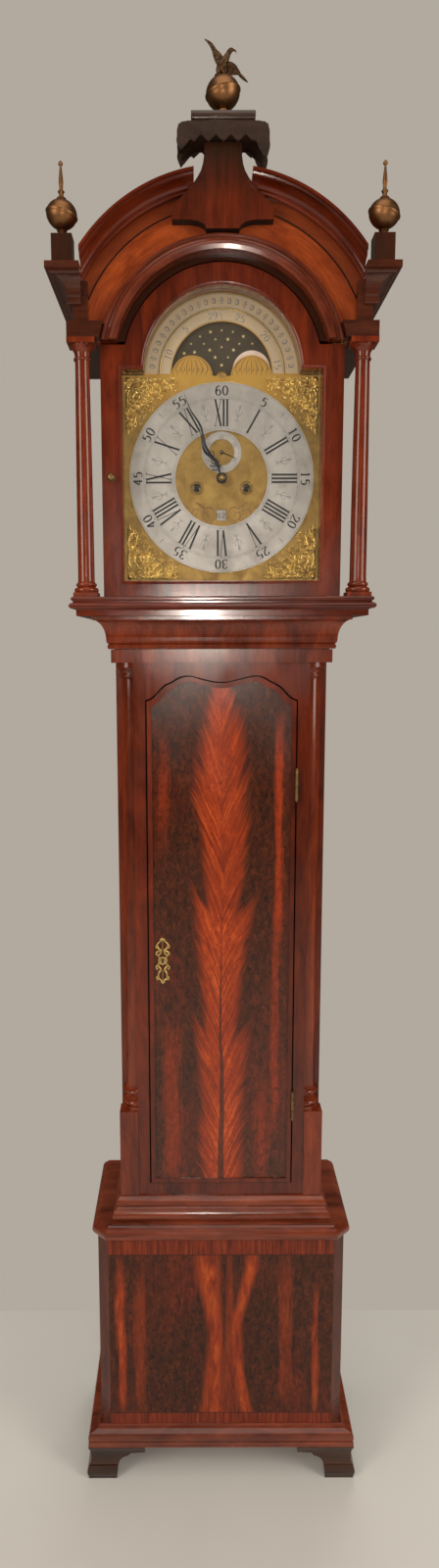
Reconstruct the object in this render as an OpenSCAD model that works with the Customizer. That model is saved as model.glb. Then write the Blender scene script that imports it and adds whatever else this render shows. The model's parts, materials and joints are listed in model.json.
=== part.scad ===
// Longcase clock: mahogany case, sliding hood, arched brass dial and eight-day movement.
// Origin on the floor, in the middle of the width and depth. +Z is up and -Y is the front.

/* [Case] */
// Width of the base box
base_w = 456; // [452:1:460]
// Width of the trunk over its corner columns
trunk_w = 364; // [362:1:366]
// Width of the hood box
hood_w = 396; // [394:1:398]
// Width over the cornice
cornice_w = 550; // [546:1:554]
// Depth over the cornice
case_d = 260; // [256:1:264]
// Thickness of the case boards
board = 16; // [15:1:17]
// Cut across the front corners of the base
cant = 20; // [18:1:22]

/* [Heights] */
// Height of the bracket feet
foot_h = 65; // [63:1:67]
// Top of the base
base_top = 509; // [507:1:511]
// Top of the trunk, where the hood slides
trunk_top = 1610; // [1608:1:1612]
// Height of the hands' centre
dial_z = 1837; // [1836:1:1838]
// Height of the dial arch's centre
arch_z = 2001; // [2000:1:2002]

/* [Dial] */
// Width of the brass dial plate
dial_w = 330; // [328:1:332]
// Outer radius of the chapter ring
chapter_r = 153.5; // [152:0.5:154]
// Angle of the minute hand from twelve
minute_rest = -25; // [-180:1:180]
// Angle of the hour hand from twelve
hour_rest = -27; // [-180:1:180]
// Angle of the seconds hand from sixty
seconds_rest = 113; // [-180:1:180]

/* [Movement] */
// Distance of each winding square from the middle
wind_x = 41.5; // [41:0.5:42]
// Drop of the winding squares below the hands' centre
wind_drop = 15; // [15:0.5:15.5]
// Radius of the line on the barrels
barrel_r = 25; // [24:0.5:25]
// Length of the pendulum from its pivot to the middle of the bob
pendulum_l = 994; // [980:1:1000]

/* [Hidden] */
$fn = 64;

// Radius of the quarter columns' recess
quarter = 31;
// Planes, front to back
back = case_d / 2;
trunk_front = -68;
base_front = -93;
door_front = -82;
door_back = -64;
dial_front = -46;
// Half widths
base_x = base_w / 2;
trunk_x = trunk_w / 2;
hood_x = hood_w / 2;
cornice_x = cornice_w / 2;
// Running gap between parts that move, and the joint line between fixed pieces
gap = 0.4;
joint = 0.1;

mahogany = [0.36, 0.13, 0.07];
veneer = [0.62, 0.25, 0.1];
brass = [0.8, 0.62, 0.28];
silver = [0.86, 0.84, 0.78];
bronze = [0.3, 0.2, 0.12];
steel = [0.5, 0.5, 0.54];
blued = [0.1, 0.1, 0.14];

// ---- Shared shapes ----

// Block between two opposite corners
module block(low, high) {
    translate(low) cube(high - low);
}

// The children and their mirror image across the middle plane
module pair() {
    children();
    mirror([1, 0, 0]) children();
}

// Front-view outline (x, z) extruded between two planes of y
module front_view(y0, y1) {
    translate([0, y1, 0]) rotate([90, 0, 0]) linear_extrude(y1 - y0) children();
}

// Side-view outline (y, z) extruded between two planes of x
module side_view(x0, x1) {
    translate([x0, 0, 0]) rotate([90, 0, 90]) linear_extrude(x1 - x0) children();
}

// Round bar running front to back
module bar(r, x, z, y0, y1) {
    translate([x, y0, z]) rotate([-90, 0, 0]) cylinder(r = r, h = y1 - y0);
}

// Turned shape about the y axis through (x, z): its outline is (radius, y)
module turned_y(x, z) {
    translate([x, 0, z]) rotate([-90, 0, 0]) rotate_extrude($fn = 96) children();
}

// Points of an arc, its angles from the first axis
function arc(c, r, a0, a1, n = 8) =
    [for (i = [0:n]) let (a = a0 + (a1 - a0) * i / n) [c[0] + r[0] * cos(a), c[1] + r[1] * sin(a)]];

// Plan line around the back-left, front-left, front-right and back-right corners
function plan(x, front, rear = back) = [[-x, rear], [-x, front], [x, front], [x, rear]];

// The same with its front corners cut across, and moved out by d
function canted_plan(x, front, d) =
    let (s = d * tan(22.5))
    [[-x - d, back], [-x - d, front + cant - s], [-x + cant - s, front - d],
     [x - cant + s, front - d], [x + d, front + cant - s], [x + d, back]];

// Lengths of moulding between an inner and an outer plan line, mitred where they meet.
// The profile is [t, z], with t = 0 on the inner line and 1 on the outer line.
module moulding(inner, outer, profile, depth_in = 1) {
    for (i = [0:len(inner) - 2]) {
        a = inner[i];
        b = inner[i + 1];
        along = (b - a) / norm(b - a);
        out = [along[1], -along[0]];
        depth = (outer[i] - a) * out;
        reach = 1.5;
        intersection() {
            translate([a[0], a[1], 0])
                rotate([0, 0, atan2(along[1], along[0])])
                translate([-100, 0, 0])
                rotate([90, 0, 90])
                linear_extrude(norm(b - a) + 200)
                polygon([for (p = profile) [-p[0] * depth, p[1]]]);
            linear_extrude(2600)
                polygon([
                    a - depth_in * (outer[i] - a) + joint / 2 * along,
                    a + reach * (outer[i] - a) + joint / 2 * along,
                    b + reach * (outer[i + 1] - b) - joint / 2 * along,
                    b - depth_in * (outer[i + 1] - b) - joint / 2 * along
                ]);
        }
    }
}

// ---- Base ----

module backboard() {
    low = foot_h + 39;
    step = base_top - 13;
    base_half = base_x - board - joint;
    trunk_half = trunk_x - joint;
    r = crown_r - 16;
    rise = acos(trunk_half / r);
    color(mahogany) front_view(back - 14, back) polygon(concat(
        [[-base_half, low], [base_half, low], [base_half, step], [trunk_half, step]],
        arc([0, crown_z], [r, r], rise, 180 - rise, 24),
        [[-trunk_half, step], [-base_half, step]]
    ));
}

module base_panels() {
    z0 = foot_h + 38;
    z1 = base_top - 12;
    front_x = base_x - cant;
    color(mahogany) {
        block([-front_x + joint, base_front, z0], [front_x - joint, base_front + board, z1]);
        pair()
            block([base_x - board, base_front + cant + joint, z0], [base_x, back, z1]);
        block([-base_x + board + joint, base_front + cant + joint, z0 + 1],
              [base_x - board - joint, back - 14 - joint, z0 + 15]);
    }
}

// Diagonal corner pieces, each ending in a curved stop that fills out to the square corner
module canted_corners() {
    z0 = foot_h + 38;
    z1 = base_top - 12;
    stop_h = 38;
    stop_r = 60;
    x0 = base_x - cant;
    color(mahogany) pair() {
        translate([0, 0, z0]) linear_extrude(z1 - z0)
            polygon([[x0, base_front], [base_x, base_front + cant],
                     [base_x - board, base_front + cant], [x0, base_front + board]]);
        difference() {
            translate([0, 0, z0]) linear_extrude(stop_h)
                polygon([[x0, base_front], [base_x, base_front], [base_x, base_front + cant]]);
            translate([x0 + cant / 2, base_front + cant / 2, z0 + stop_h])
                rotate([0, 0, 45])
                translate([-30, -stop_r - 0.3, 0])
                rotate([0, 90, 0])
                cylinder(r = stop_r, h = 60);
        }
    }
}

// Moulding over the feet, moulding round the top of the base and beads round the trunk's foot
module base_mouldings() {
    z = foot_h;
    plinth = concat(
        [[-0.7, z], [1, z], [1, z + 8], [0.86, z + 9]],
        arc([0.74, z + 18], [0.26, 9.5], -68, 68),
        [[0.55, z + 29], [0.3, z + 31], [0.12, z + 35], [0.05, z + 38], [-0.7, z + 38]]
    );
    t = base_top;
    cap = concat(
        [[-2.6, t - 12], [0, t - 12], [0, t - 27]],
        arc([-0.3, t - 14.5], [1.3, 13], -75, 75),
        [[-0.3, t], [-2.6, t]]
    );
    foot = concat(
        [[0, t + joint], [1, t + joint], [1, t + 3]],
        arc([0.5, t + 14.5], [0.42, 11], -60, 62),
        [[0.56, t + 27]],
        arc([0.2, t + 36], [0.36, 9], -50, 62),
        [[0.2, t + 47], [0, t + 47]]
    );
    color(mahogany) {
        moulding(plan(base_x, base_front), plan(base_x + 22, base_front - 15), plinth);
        moulding(canted_plan(base_x, base_front, 0), canted_plan(base_x, base_front, 10), cap, 2.7);
        moulding(plan(trunk_x, trunk_front), plan(trunk_x + 19, trunk_front - 21), foot);
    }
}

// Ogee bracket feet: the front pair have a bracket on each face, the rear pair on the side only
module bracket_feet() {
    h = foot_h - joint;
    ogee = concat(
        [[-0.9, 0], [0.9, 0]],
        arc([0.8, 14], [0.2, 11], -60, 60),
        arc([1.02, 44], [0.32, 20], 248, 118),
        [[0.9, h], [-0.9, h]]
    );
    function bracket(pad) = concat(
        [[0, 0], [pad, 0], [pad + 2, 24]],
        arc([pad + 22, 24], [20, 20], 180, 95, 6),
        [[pad + 26, 50], [pad + 53, 52], [pad + 53, h + 1], [0, h + 1]]
    );
    edge = base_x + 25;
    front = base_front - 17;
    color(mahogany) intersection() {
        moulding(plan(base_x, base_front), plan(edge, front), ogee);
        union() {
            front_view(front - 5, -75) pair() translate([-edge, 0]) polygon(bracket(56));
            pair() side_view(base_x - 28, edge + 2) {
                translate([front, 0]) polygon(bracket(36));
                translate([back, 0]) mirror([1, 0]) polygon(bracket(36));
            }
        }
    }
}

// ---- Trunk ----

frieze_z = 1533;
door_bottom = base_top + 73;
door_shoulder = 1509;
door_x = 128;
stile_in = door_x + 2.5;
frame_t = 18;

module trunk_sides() {
    color(mahogany) pair()
        block([trunk_x - board, trunk_front + quarter, base_top], [trunk_x, back - 14 - joint, 1735]);
}

// Height of the trunk door's shaped top edge at a distance x from its middle
function door_edge(x) =
    x < 62 ? door_shoulder - 11 * (1 + cos(180 * x / 62)) / 2
    : x < 86 ? door_shoulder - 12 * pow((x - 62) / 24, 1.5)
    : door_shoulder - 41 + 29 * (1 + cos(180 * (x - 86) / 42)) / 2;

// Trunk door outline drawn in by d on every side
module door_outline(d) {
    step = 4;
    w = door_x - d;
    top = [for (x = [-door_x:step:door_x]) [x * w / door_x, door_edge(abs(x)) - d]];
    polygon(concat([[w, door_bottom + d], [-w, door_bottom + d]], top));
}

// Stiles each side of the door, with the shaped rail above it and the plain rail below
module trunk_frame() {
    corner = trunk_x - quarter;
    z0 = base_top + 47;
    color(mahogany) {
        pair()
            block([stile_in, trunk_front, z0 + joint],
                  [corner - joint, trunk_front + frame_t, frieze_z]);
        front_view(trunk_front, trunk_front + frame_t) difference() {
            translate([-stile_in + joint, 1440]) square([2 * (stile_in - joint), frieze_z - 1440]);
            door_outline(-2.2);
            translate([-stile_in, 0]) square([2 * stile_in, 1467]);
        }
        block([-corner + joint, trunk_front, base_top],
              [corner - joint, trunk_front + frame_t, z0]);
        block([-stile_in + joint, trunk_front, z0],
              [stile_in - joint, trunk_front + frame_t, door_bottom - 2]);
    }
}

// Turned quarter columns let into the trunk's front corners, each on its own square plinth
module quarter_columns() {
    z0 = 721;
    z1 = frieze_z;
    r = quarter - 0.5;
    profile = concat(
        [[0, z0 + joint], [r, z0 + joint], [r, z0 + 7]],
        arc([r - 3.2, z0 + 12], [3.2, 5], -90, 90),
        [[r - 4.8, z0 + 18], [r - 6.5, z0 + 24], [r - 4.6, z0 + 29]],
        arc([r - 4.4, z0 + 33], [2.8, 3.5], -90, 90),
        [[r - 6.2, z0 + 38], [r - 7.2, z0 + 44]],
        [[r - 8.2, z1 - 28], [r - 8.0, z1 - 25]],
        arc([r - 7.6, z1 - 22], [2.6, 3], -90, 90),
        [[r - 7.8, z1 - 18], [r - 6, z1 - 13], [r - 2, z1 - 9], [r, z1 - 8], [r, z1], [0, z1]]
    );
    x = trunk_x - quarter;
    y = trunk_front + quarter;
    color(mahogany) pair() {
        intersection() {
            translate([x, y, 0]) rotate_extrude($fn = 96) polygon(profile);
            block([x + joint, y - 40, z0], [x + 40, y - joint, z1]);
        }
        block([x + joint, trunk_front, base_top], [trunk_x - joint, y - joint, base_top + 48]);
        block([x + joint, trunk_front - 2.5, base_top + 48], [trunk_x + 2.5, y - joint, z0]);
    }
}

// Cross-banded frieze, bead and hollow that carry the hood
module throat_moulding() {
    z = frieze_z;
    frieze = [[0, z], [1, z], [1, z + 22], [0, z + 22]];
    throat = concat(
        [[0, z + 23], [0.24, z + 23]],
        arc([0.24, z + 27], [0.07, 4], -90, 90, 6),
        [[0.27, z + 32], [0.34, z + 34]],
        arc([1, z + 37], [0.64, trunk_top - 6 - z - 37], 180, 90, 10),
        [[1, trunk_top], [0, trunk_top]]
    );
    color(mahogany) {
        moulding(plan(trunk_x, trunk_front), plan(trunk_x + 5, trunk_front - 5), frieze);
        moulding(plan(trunk_x, trunk_front), plan(trunk_x + 33, trunk_front - 33), throat);
        block([-trunk_x + joint, trunk_front, frieze_z + joint],
              [trunk_x - joint, trunk_front + frame_t, trunk_top]);
    }
}

// ---- Trunk door ----

hinge_x = door_x + 1.4;
hinge_y = trunk_front - 6.4;
hinge_heights = [735, 1324];
knuckle_h = 18;
knuckle_gap = 0.3;

module trunk_door() {
    color(veneer) front_view(trunk_front, trunk_front + frame_t) door_outline(0);
}

// Moulded lip planted round the door's front edge
module trunk_door_bead() {
    color(mahogany) {
        front_view(trunk_front - 2.9, trunk_front) difference() {
            door_outline(0.2);
            door_outline(8);
        }
    }
}

// Pierced brass plate with a keyhole
module trunk_escutcheon() {
    w = 14;
    h = 41;
    lobes = [[0, 30, 9], [0, -30, 9], [7, 14, 7], [-7, 14, 7], [7, -14, 7], [-7, -14, 7], [0, 0, 11]];
    color(brass) translate([-104, 0, 1008]) front_view(trunk_front - 1.6, trunk_front - joint)
        difference() {
            union() {
                for (l = lobes) translate([l[0], l[1]]) circle(l[2]);
                square([w, 2 * h - 12], center = true);
                translate([0, h - 8]) circle(4.5);
                translate([0, -h + 8]) circle(4.5);
            }
            circle(2.6);
            translate([-1.3, -9]) square([2.6, 9]);
            for (s = [-1, 1]) for (e = [-1, 1]) translate([s * 6, e * 17]) circle(1.8);
        }
}

// Outer knuckles and the leaf let into the door's edge
module hinge_door_leaves() {
    side = knuckle_h + knuckle_gap;
    color(brass) for (z = hinge_heights) difference() {
        union() {
            for (s = [-1, 1]) translate([hinge_x, hinge_y, z + s * side - knuckle_h / 2])
                cylinder(r = 3, h = knuckle_h);
            for (s = [-1, 1])
                block([door_x + joint, hinge_y, z + s * side - knuckle_h / 2],
                      [door_x + 0.9, trunk_front + 16, z + s * side + knuckle_h / 2]);
            block([door_x + joint, trunk_front + 1, z - 27],
                  [door_x + 0.9, trunk_front + 16, z + 27]);
        }
        translate([hinge_x, hinge_y, z - 40]) cylinder(r = 1.45, h = 80);
    }
}

// Middle knuckle with its pin, and the leaf let into the stile
module hinge_frame_leaves() {
    color(brass) for (z = hinge_heights) {
        translate([hinge_x, hinge_y, z - knuckle_h / 2]) cylinder(r = 3, h = knuckle_h);
        translate([hinge_x, hinge_y, z - 29]) cylinder(r = 1.4, h = 58);
        block([stile_in - 1.3, hinge_y, z - knuckle_h / 2],
              [stile_in - joint, trunk_front + 16, z + knuckle_h / 2]);
        block([stile_in - 0.8, trunk_front + 1, z - 27],
              [stile_in - joint, trunk_front + 16, z + 27]);
    }
}

// ---- Hood ----

hood_base = trunk_top + gap;
hood_floor = trunk_top + 31;
capital_top = 2042;
architrave_top = 2066;
cornice_z0 = 2090;
cornice_top = 2146;
entablature_x = 236;
entablature_front = -103;
column_x = 224;
column_y = -88;
crown_z = 2009;
crown_r = 273;
opening_x = 162;
opening_r = 127;
opening_bottom = 1668;
door_arch_r = 160;
arch_inner = 173;
arch_outer = 199;
pivot_x = 192;
pivot_y = -78;

module hood_sides() {
    color(mahogany) pair()
        block([hood_x - 13.5, -62 + joint, hood_floor + joint], [hood_x, back - 0.5, cornice_top - 4]);
}

// Frame that slides on the trunk's top, with the step that carries the columns
module hood_base_moulding() {
    z = hood_base;
    t = hood_floor;
    profile = concat(
        [[0, z], [0.83, z], [0.83, z + 9], [0.87, z + 11]],
        arc([0.9, z + 16], [0.1, 5], -60, 90, 6),
        [[0.9, z + 23]],
        arc([0.9, t - 3.5], [0.05, 3.5], -90, 90, 5),
        [[0, t]]
    );
    color(mahogany) difference() {
        moulding(plan(hood_x - 13.5, -60), plan(251, -118), profile);
        translate([pivot_x, pivot_y, t - 9]) cylinder(r = 2.55, h = 10);
    }
}

// Turned columns with moulded capitals and bases
module hood_columns() {
    z0 = hood_floor + joint;
    z1 = capital_top - joint;
    shaft = concat(
        [[0, z0 + 7], [19, z0 + 7]],
        arc([17, z0 + 11], [3, 4], -90, 90),
        [[15.5, z0 + 16]],
        arc([14.6, z0 + 20], [2.4, 3], -90, 90),
        [[13.9, z0 + 25], [13.6, z0 + 32]],
        [for (i = [0:10]) [13.6 - 2.2 * pow(i / 10, 1.6), z0 + 32 + (z1 - z0 - 72) * i / 10]],
        [[11.4, z1 - 33]],
        arc([11.6, z1 - 29], [2.2, 2.5], -90, 90),
        [[11.6, z1 - 25], [12.5, z1 - 19], [16, z1 - 13], [19.5, z1 - 10], [19.5, z1 - 8], [0, z1 - 8]]
    );
    color(mahogany) pair() translate([column_x, column_y, 0]) {
        rotate_extrude($fn = 96) polygon(shaft);
        translate([-20, -20, z0]) cube([40, 40, 7.1]);
        translate([-22, -22, z1 - 8.1]) cube([44, 44, 8.1]);
    }
}

// Architrave over each capital, the block above it and the frieze down the hood's side
module hood_friezes() {
    color(mahogany) pair() {
        difference() {
            block([150, -108, capital_top], [246, door_front - 2 - joint, architrave_top]);
            translate([0, 0, arch_z]) rotate([90, 0, 0]) cylinder(r = arch_outer + joint, h = 400, $fn = 128);
        }
        block([222, entablature_front, architrave_top],
              [entablature_x, door_front - 2 - joint, cornice_top]);
        block([212, entablature_front, architrave_top],
              [222, door_front - 2 - joint, 2126]);
        block([hood_x + joint, door_back + joint, capital_top],
              [entablature_x, back - 0.5, cornice_top]);
    }
}

// Front board of the hood's arched top, cut away for the arch of the door
module tympanum() {
    color(veneer) difference() {
        front_view(door_front - 2, door_back) difference() {
            union() {
                intersection() {
                    translate([0, crown_z]) circle(r = crown_r - 11, $fn = 128);
                    translate([-entablature_x, capital_top]) square([2 * entablature_x, 300]);
                }
                translate([-entablature_x, capital_top])
                    square([2 * entablature_x, cornice_top - capital_top]);
            }
            translate([0, arch_z]) circle(r = door_arch_r + 1.5, $fn = 128);
        }
        translate([pivot_x, pivot_y, capital_top - 2]) cylinder(r = 2.55, h = 10);
    }
}

// Arched moulding close above the door, standing proud of the board
module inner_arch_moulding() {
    y = door_front - 2 - joint;
    profile = concat(
        [[arch_inner, y], [arch_outer, y], [arch_outer, y - 4]],
        arc([arch_outer - 4, y - 8], [4, 5], 0, -140, 7),
        arc([arch_outer - 7, y - 18], [8, 7], 90, 180, 6),
        [[arch_inner + 6, y - 19], [arch_inner, y - 17]]
    );
    color(mahogany) intersection() {
        turned_y(0, arch_z) polygon(profile);
        block([-250, -130, capital_top], [250, -70, 2300]);
    }
}

// Outline of the shaped pedestal, let out by d on each side
module pedestal_outline(d) {
    half = concat(
        arc([54, 2201.5], [28, 12.5], 180, 90, 7),
        [[79, 2214], [79, 2230], [70, 2241.5], [61, 2250], [54.5, 2256], [46, 2265.5], [39.5, 2274.5],
         [34, 2284], [30.8, 2294], [29.4, 2304], [29, 2314], [29, 2324]]
    );
    right = [for (p = half) [p[0] + d, p[1]]];
    left = [for (i = [len(half) - 1:-1:0]) [-right[i][0], right[i][1]]];
    polygon(concat(right, left));
}

// Arched cornice in two lengths that die against the pedestal
module arched_cornice() {
    y = door_front - 2 - joint;
    r = crown_r;
    profile = concat(
        [[r - 21, y], [r, y], [r, -130], [r - 4, -130], [r - 4.5, -124], [r - 7, -123]],
        arc([r - 18, -124], [10, 24], 10, 80, 8),
        [[r - 17, -98]],
        arc([r - 19, -94], [3, 4], 300, 180, 6)
    );
    color(mahogany) difference() {
        intersection() {
            turned_y(0, crown_z) polygon(profile);
            pair() block([45, -135, crown_z], [222 - joint, -70, 2300]);
        }
        front_view(-140, -60) pedestal_outline(0.5);
    }
}

// Corner and side lengths of the same cornice
module side_cornices() {
    z = cornice_z0;
    t = cornice_top;
    profile = concat(
        [[0, z], [0.14, z]],
        arc([0.14, z + 5], [0.1, 5], -90, 90, 6),
        [[0.16, z + 12]],
        arc([0.82, z + 14], [0.62, 26], 180, 95, 8),
        [[0.86, t - 14], [0.86, t - 11], [1, t - 10], [1, t], [0, t]]
    );
    inner = [[222, entablature_front], [entablature_x, entablature_front], [entablature_x, back - 0.5]];
    outer = [[222, -back], [cornice_x, -back], [cornice_x, back - 0.5]];
    color(mahogany) pair() moulding(inner, outer, profile);
}

// Thin bent board that closes the top of the hood behind the arch
module hood_roof() {
    color(mahogany) intersection() {
        turned_y(0, crown_z) translate([crown_r - 11 + joint, door_front - 2])
            square([6, back - 0.5 - door_front + 2]);
        block([-222, -100, crown_z], [222, back, 2300]);
    }
}

// Shaped centre pedestal and the two corner blocks
module finial_plinths() {
    color(mahogany) {
        front_view(-104, door_front - 2 - joint) pedestal_outline(0);
        pair() block([233, -120, cornice_top + joint], [265, -88, 2189]);
    }
}

// Carved canopy with hanging corner tips, and the moulded cap that carries the ball
module canopy() {
    z = 2324 + joint;
    top = z + 24;
    // Half outline from the middle of the underside, out round the hanging tip, to the top
    function leaf(neck, w, drop) = concat(
        [[0, z], [neck, z]],
        arc([neck, z - drop + 8], [w - neck - 6, drop - 12], 90, 5, 6),
        [[w - 4, z - drop], [w, z - drop + 5], [w + 1, z - 6], [w - 4, z + 8], [w - 12, top], [0, top]]
    );
    color(mahogany) {
        intersection() {
            front_view(-123, -61) pair() polygon(leaf(29, 70, 32));
            translate([0, -92, 0]) side_view(-80, 80) pair() polygon(leaf(15, 28, 22));
        }
        block([-44, -115, top + joint], [44, -69, z + 28]);
        block([-49, -119, z + 28], [49, -65, z + 37.5]);
    }
}

// Turned bronze finials: ball, collar and tapering spire
module side_finials() {
    z = 2189.1;
    profile = concat(
        [[0, z], [9, z], [9, z + 2], [4, z + 4], [4, z + 10]],
        arc([0, z + 32], [24, 24.5], -76, -4, 10),
        [[26, z + 32]],
        arc([0, z + 32], [24, 24.5], 4, 76, 10),
        [[4.5, z + 58]],
        arc([3.5, z + 63], [3.5, 4], -80, 80, 6),
        [[2.8, z + 70], [3.4, z + 76], [1.5, z + 98]],
        arc([0.9, z + 102], [2.2, 3.5], -70, 80, 6),
        [[0, z + 109.5]]
    );
    color(bronze) pair() translate([249, -104, 0]) rotate_extrude($fn = 64) polygon(profile);
}

// Ball with a spread eagle standing on it
module eagle_finial() {
    z = 2361.8;
    ball_r = 25.5;
    ball_z = 2397.8;
    top = 2425.3;
    profile = concat(
        [[0, z], [11, z], [11, z + 3], [7, z + 6]],
        arc([0, ball_z], [ball_r, 29.5], -72, -5, 10),
        [[ball_r + 1.5, ball_z]],
        arc([0, ball_z], [ball_r, top - ball_z], 5, 90, 10)
    );
    color(bronze) translate([0, -92, 0]) {
        rotate_extrude($fn = 64) polygon(profile);
        hull($fn = 24) {
            translate([-2, 0, top + 8]) sphere(8);
            translate([4, 0, top + 18]) sphere(7);
        }
        hull($fn = 20) {
            translate([5, 0, top + 20]) sphere(5.5);
            translate([11, -2, top + 30]) sphere(5);
        }
        hull($fn = 16) {
            translate([13, -2, top + 30]) sphere(3);
            translate([18, -4, top + 27]) sphere(1);
        }
        hull($fn = 16) {
            translate([-3, 3, top + 18]) sphere(4);
            translate([-12, 6, top + 32]) sphere(5);
            translate([-18, 8, top + 51]) sphere(2);
            translate([-25, 8, top + 38]) sphere(2);
        }
        hull($fn = 16) {
            translate([6, 5, top + 18]) sphere(4);
            translate([22, 8, top + 20]) sphere(5);
            translate([38, 9, top - 2]) sphere(2);
            translate([24, 8, top + 4]) sphere(2);
        }
        hull($fn = 16) {
            translate([-4, 2, top + 6]) sphere(5);
            translate([-14, 10, top - 6]) sphere(3);
            translate([-4, 12, top - 8]) sphere(2);
        }
    }
}

// Outline of the glazed opening, drawn in by d
module opening_outline(d) {
    translate([-opening_x + d, opening_bottom + d])
        square([2 * (opening_x - d), arch_z - opening_bottom - 2 * d]);
    translate([0, arch_z]) circle(r = opening_r - d, $fn = 128);
}

// Inner frame that hides the edge of the dial when the door is open
module dial_mask() {
    x = hood_x - 13.5 - joint;
    color(mahogany) front_view(door_back + 2, door_back + 12) difference() {
        translate([-x, hood_floor + joint]) square([2 * x, cornice_top - 4 - hood_floor]);
        opening_outline(0);
    }
}

// ---- Hood door ----

module hood_door() {
    x = hood_x - 2;
    color(mahogany) front_view(door_front, door_back) difference() {
        union() {
            translate([-x, hood_floor + 2]) square([2 * x, 2038 - hood_floor - 2]);
            translate([0, arch_z]) circle(r = door_arch_r, $fn = 128);
        }
        opening_outline(0);
    }
}

module hood_glass() {
    color([0.8, 0.88, 0.9, 0.3]) front_view(-76, -73) opening_outline(joint);
}

// Brass plates on the door's corners with the pins that turn in the hood
module hood_door_pivots() {
    x = hood_x - 2;
    low = hood_floor + 2;
    color(brass) {
        block([x - 20, door_front + 1, low - 1.5], [x, door_back - 1, low - joint]);
        translate([pivot_x, pivot_y, low - 9]) cylinder(r = 2.5, h = 8);
        block([x - 20, door_front + 1, 2038 + joint], [x, door_back - 1, 2039.5]);
        translate([pivot_x, pivot_y, 2039]) cylinder(r = 2.5, h = 9);
    }
}

module hood_door_knob() {
    y = door_front - joint;
    color(brass) turned_y(-181, 1832) polygon(concat(
        [[0, y], [6, y], [6, y - 1.5], [2.5, y - 3], [2.5, y - 6]],
        arc([0, y - 10], [6, 4.5], 50, -90, 8)
    ));
}

// ---- Dial ----

seconds_z = dial_z + 42;
moon_r = 83;
hump_x = 49;
hump_r = 34;
wind_z = dial_z - wind_drop;
ring_front = dial_front - 2;

module dial_plate() {
    x = dial_w / 2;
    low = dial_z - 170;
    color(brass) {
        difference() {
            front_view(dial_front, dial_front + 3) difference() {
                union() {
                    translate([-x, low]) square([2 * x, arch_z - low]);
                    translate([0, arch_z]) circle(r = 129, $fn = 128);
                }
                difference() {
                    translate([0, arch_z]) circle(r = moon_r, $fn = 96);
                    translate([-200, arch_z - 200]) square([400, 199]);
                    for (s = [-1, 1]) translate([s * hump_x, arch_z - 3]) circle(hump_r);
                    translate([0, arch_z - 2]) circle(8);
                }
                translate([-8, dial_z - 68]) square([16, 18]);
            }
            bar(7, 0, dial_z, -60, -30);
            bar(3, 0, seconds_z, -60, -30);
            for (s = [-1, 1]) bar(6, s * wind_x, wind_z, -60, -30);
        }
        bar(4, 0, arch_z, dial_front - 4, dial_front + 9);
        for (s = [-1, 1]) for (z = [dial_z - 72, dial_z + 78])
            bar(4, s * 58, z, dial_front + 2.9, -15 - joint);
    }
}

// Flat ring between two radii, seen from the front
module ring(inner, outer) {
    difference() {
        circle(r = outer, $fn = 128);
        circle(r = inner, $fn = 128);
    }
}

// Silvered rings: hours, seconds, and the two arcs above the moon
module dial_rings() {
    color(silver) {
        front_view(ring_front, dial_front - joint) {
            translate([0, dial_z]) ring(77, chapter_r);
            translate([0, seconds_z]) ring(21, 33);
        }
        front_view(ring_front + 0.6, dial_front - joint) difference() {
            translate([0, arch_z]) {
                ring(moon_r + 1, 101);
                ring(104, 126);
            }
            translate([-200, arch_z - 200]) square([400, 202]);
        }
    }
}

module spandrels() {
    x = dial_w / 2 - 5;
    low = dial_z - 165;
    high = arch_z - 3;
    size = 78;
    color(brass) front_view(dial_front - 4, dial_front - joint) difference() {
        for (s = [0, 1]) mirror([s, 0]) for (z = [low, high - size])
            translate([x - size, z]) square(size);
        translate([0, dial_z]) circle(r = chapter_r + 1.5, $fn = 128);
        for (s = [-1, 1]) for (z = [low, high])
            translate([s * (x - 36), z]) circle(13);
        for (s = [-1, 1]) for (z = [low + 36, high - 36])
            translate([s * x, z]) circle(13);
    }
}

// Painted disc that carries two moons past the opening
module moon_disc() {
    tilt = 10;
    y = dial_front + 5;
    color([0.12, 0.15, 0.22]) difference() {
        union() {
            bar(86, 0, arch_z, y, y + 1.5);
            for (s = [-1, 1])
                bar(29, s * 50 * cos(tilt), arch_z + s * 50 * sin(tilt), y - 0.4, y + 1);
        }
        bar(4.05, 0, arch_z, y - 5, y + 8);
    }
}

module date_ring() {
    y = dial_front + 5;
    color(silver) front_view(y, y + 1.5) translate([0, dial_z]) ring(50, 70);
}

// Outline of a hand: a wavy blade from the hub to the tip, half_w wide and swaying by sway
module hand_outline(length, half_w, sway, waves) {
    n = 40;
    function mid(t) = sway * sin(360 * waves * t) * sin(180 * t);
    function half(t) = half_w * (0.45 + 0.55 * sin(180 * min(1, 1.15 * t))) * (1 - pow(t, 6)) + 0.25;
    right = [for (i = [0:n]) [mid(i / n) + half(i / n), length * i / n]];
    left = [for (i = [n:-1:0]) [mid(i / n) - half(i / n), length * i / n]];
    polygon(concat(right, left));
}

module minute_hand() {
    y = dial_front - 11.5;
    color(blued) translate([0, 0, dial_z]) rotate([0, minute_rest, 0]) difference() {
        front_view(y, y + 1.4) {
            hand_outline(149, 3.6, 3, 2);
            circle(8);
        }
        bar(3.55, 0, 0, y - 2, y + 3);
    }
}

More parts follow.
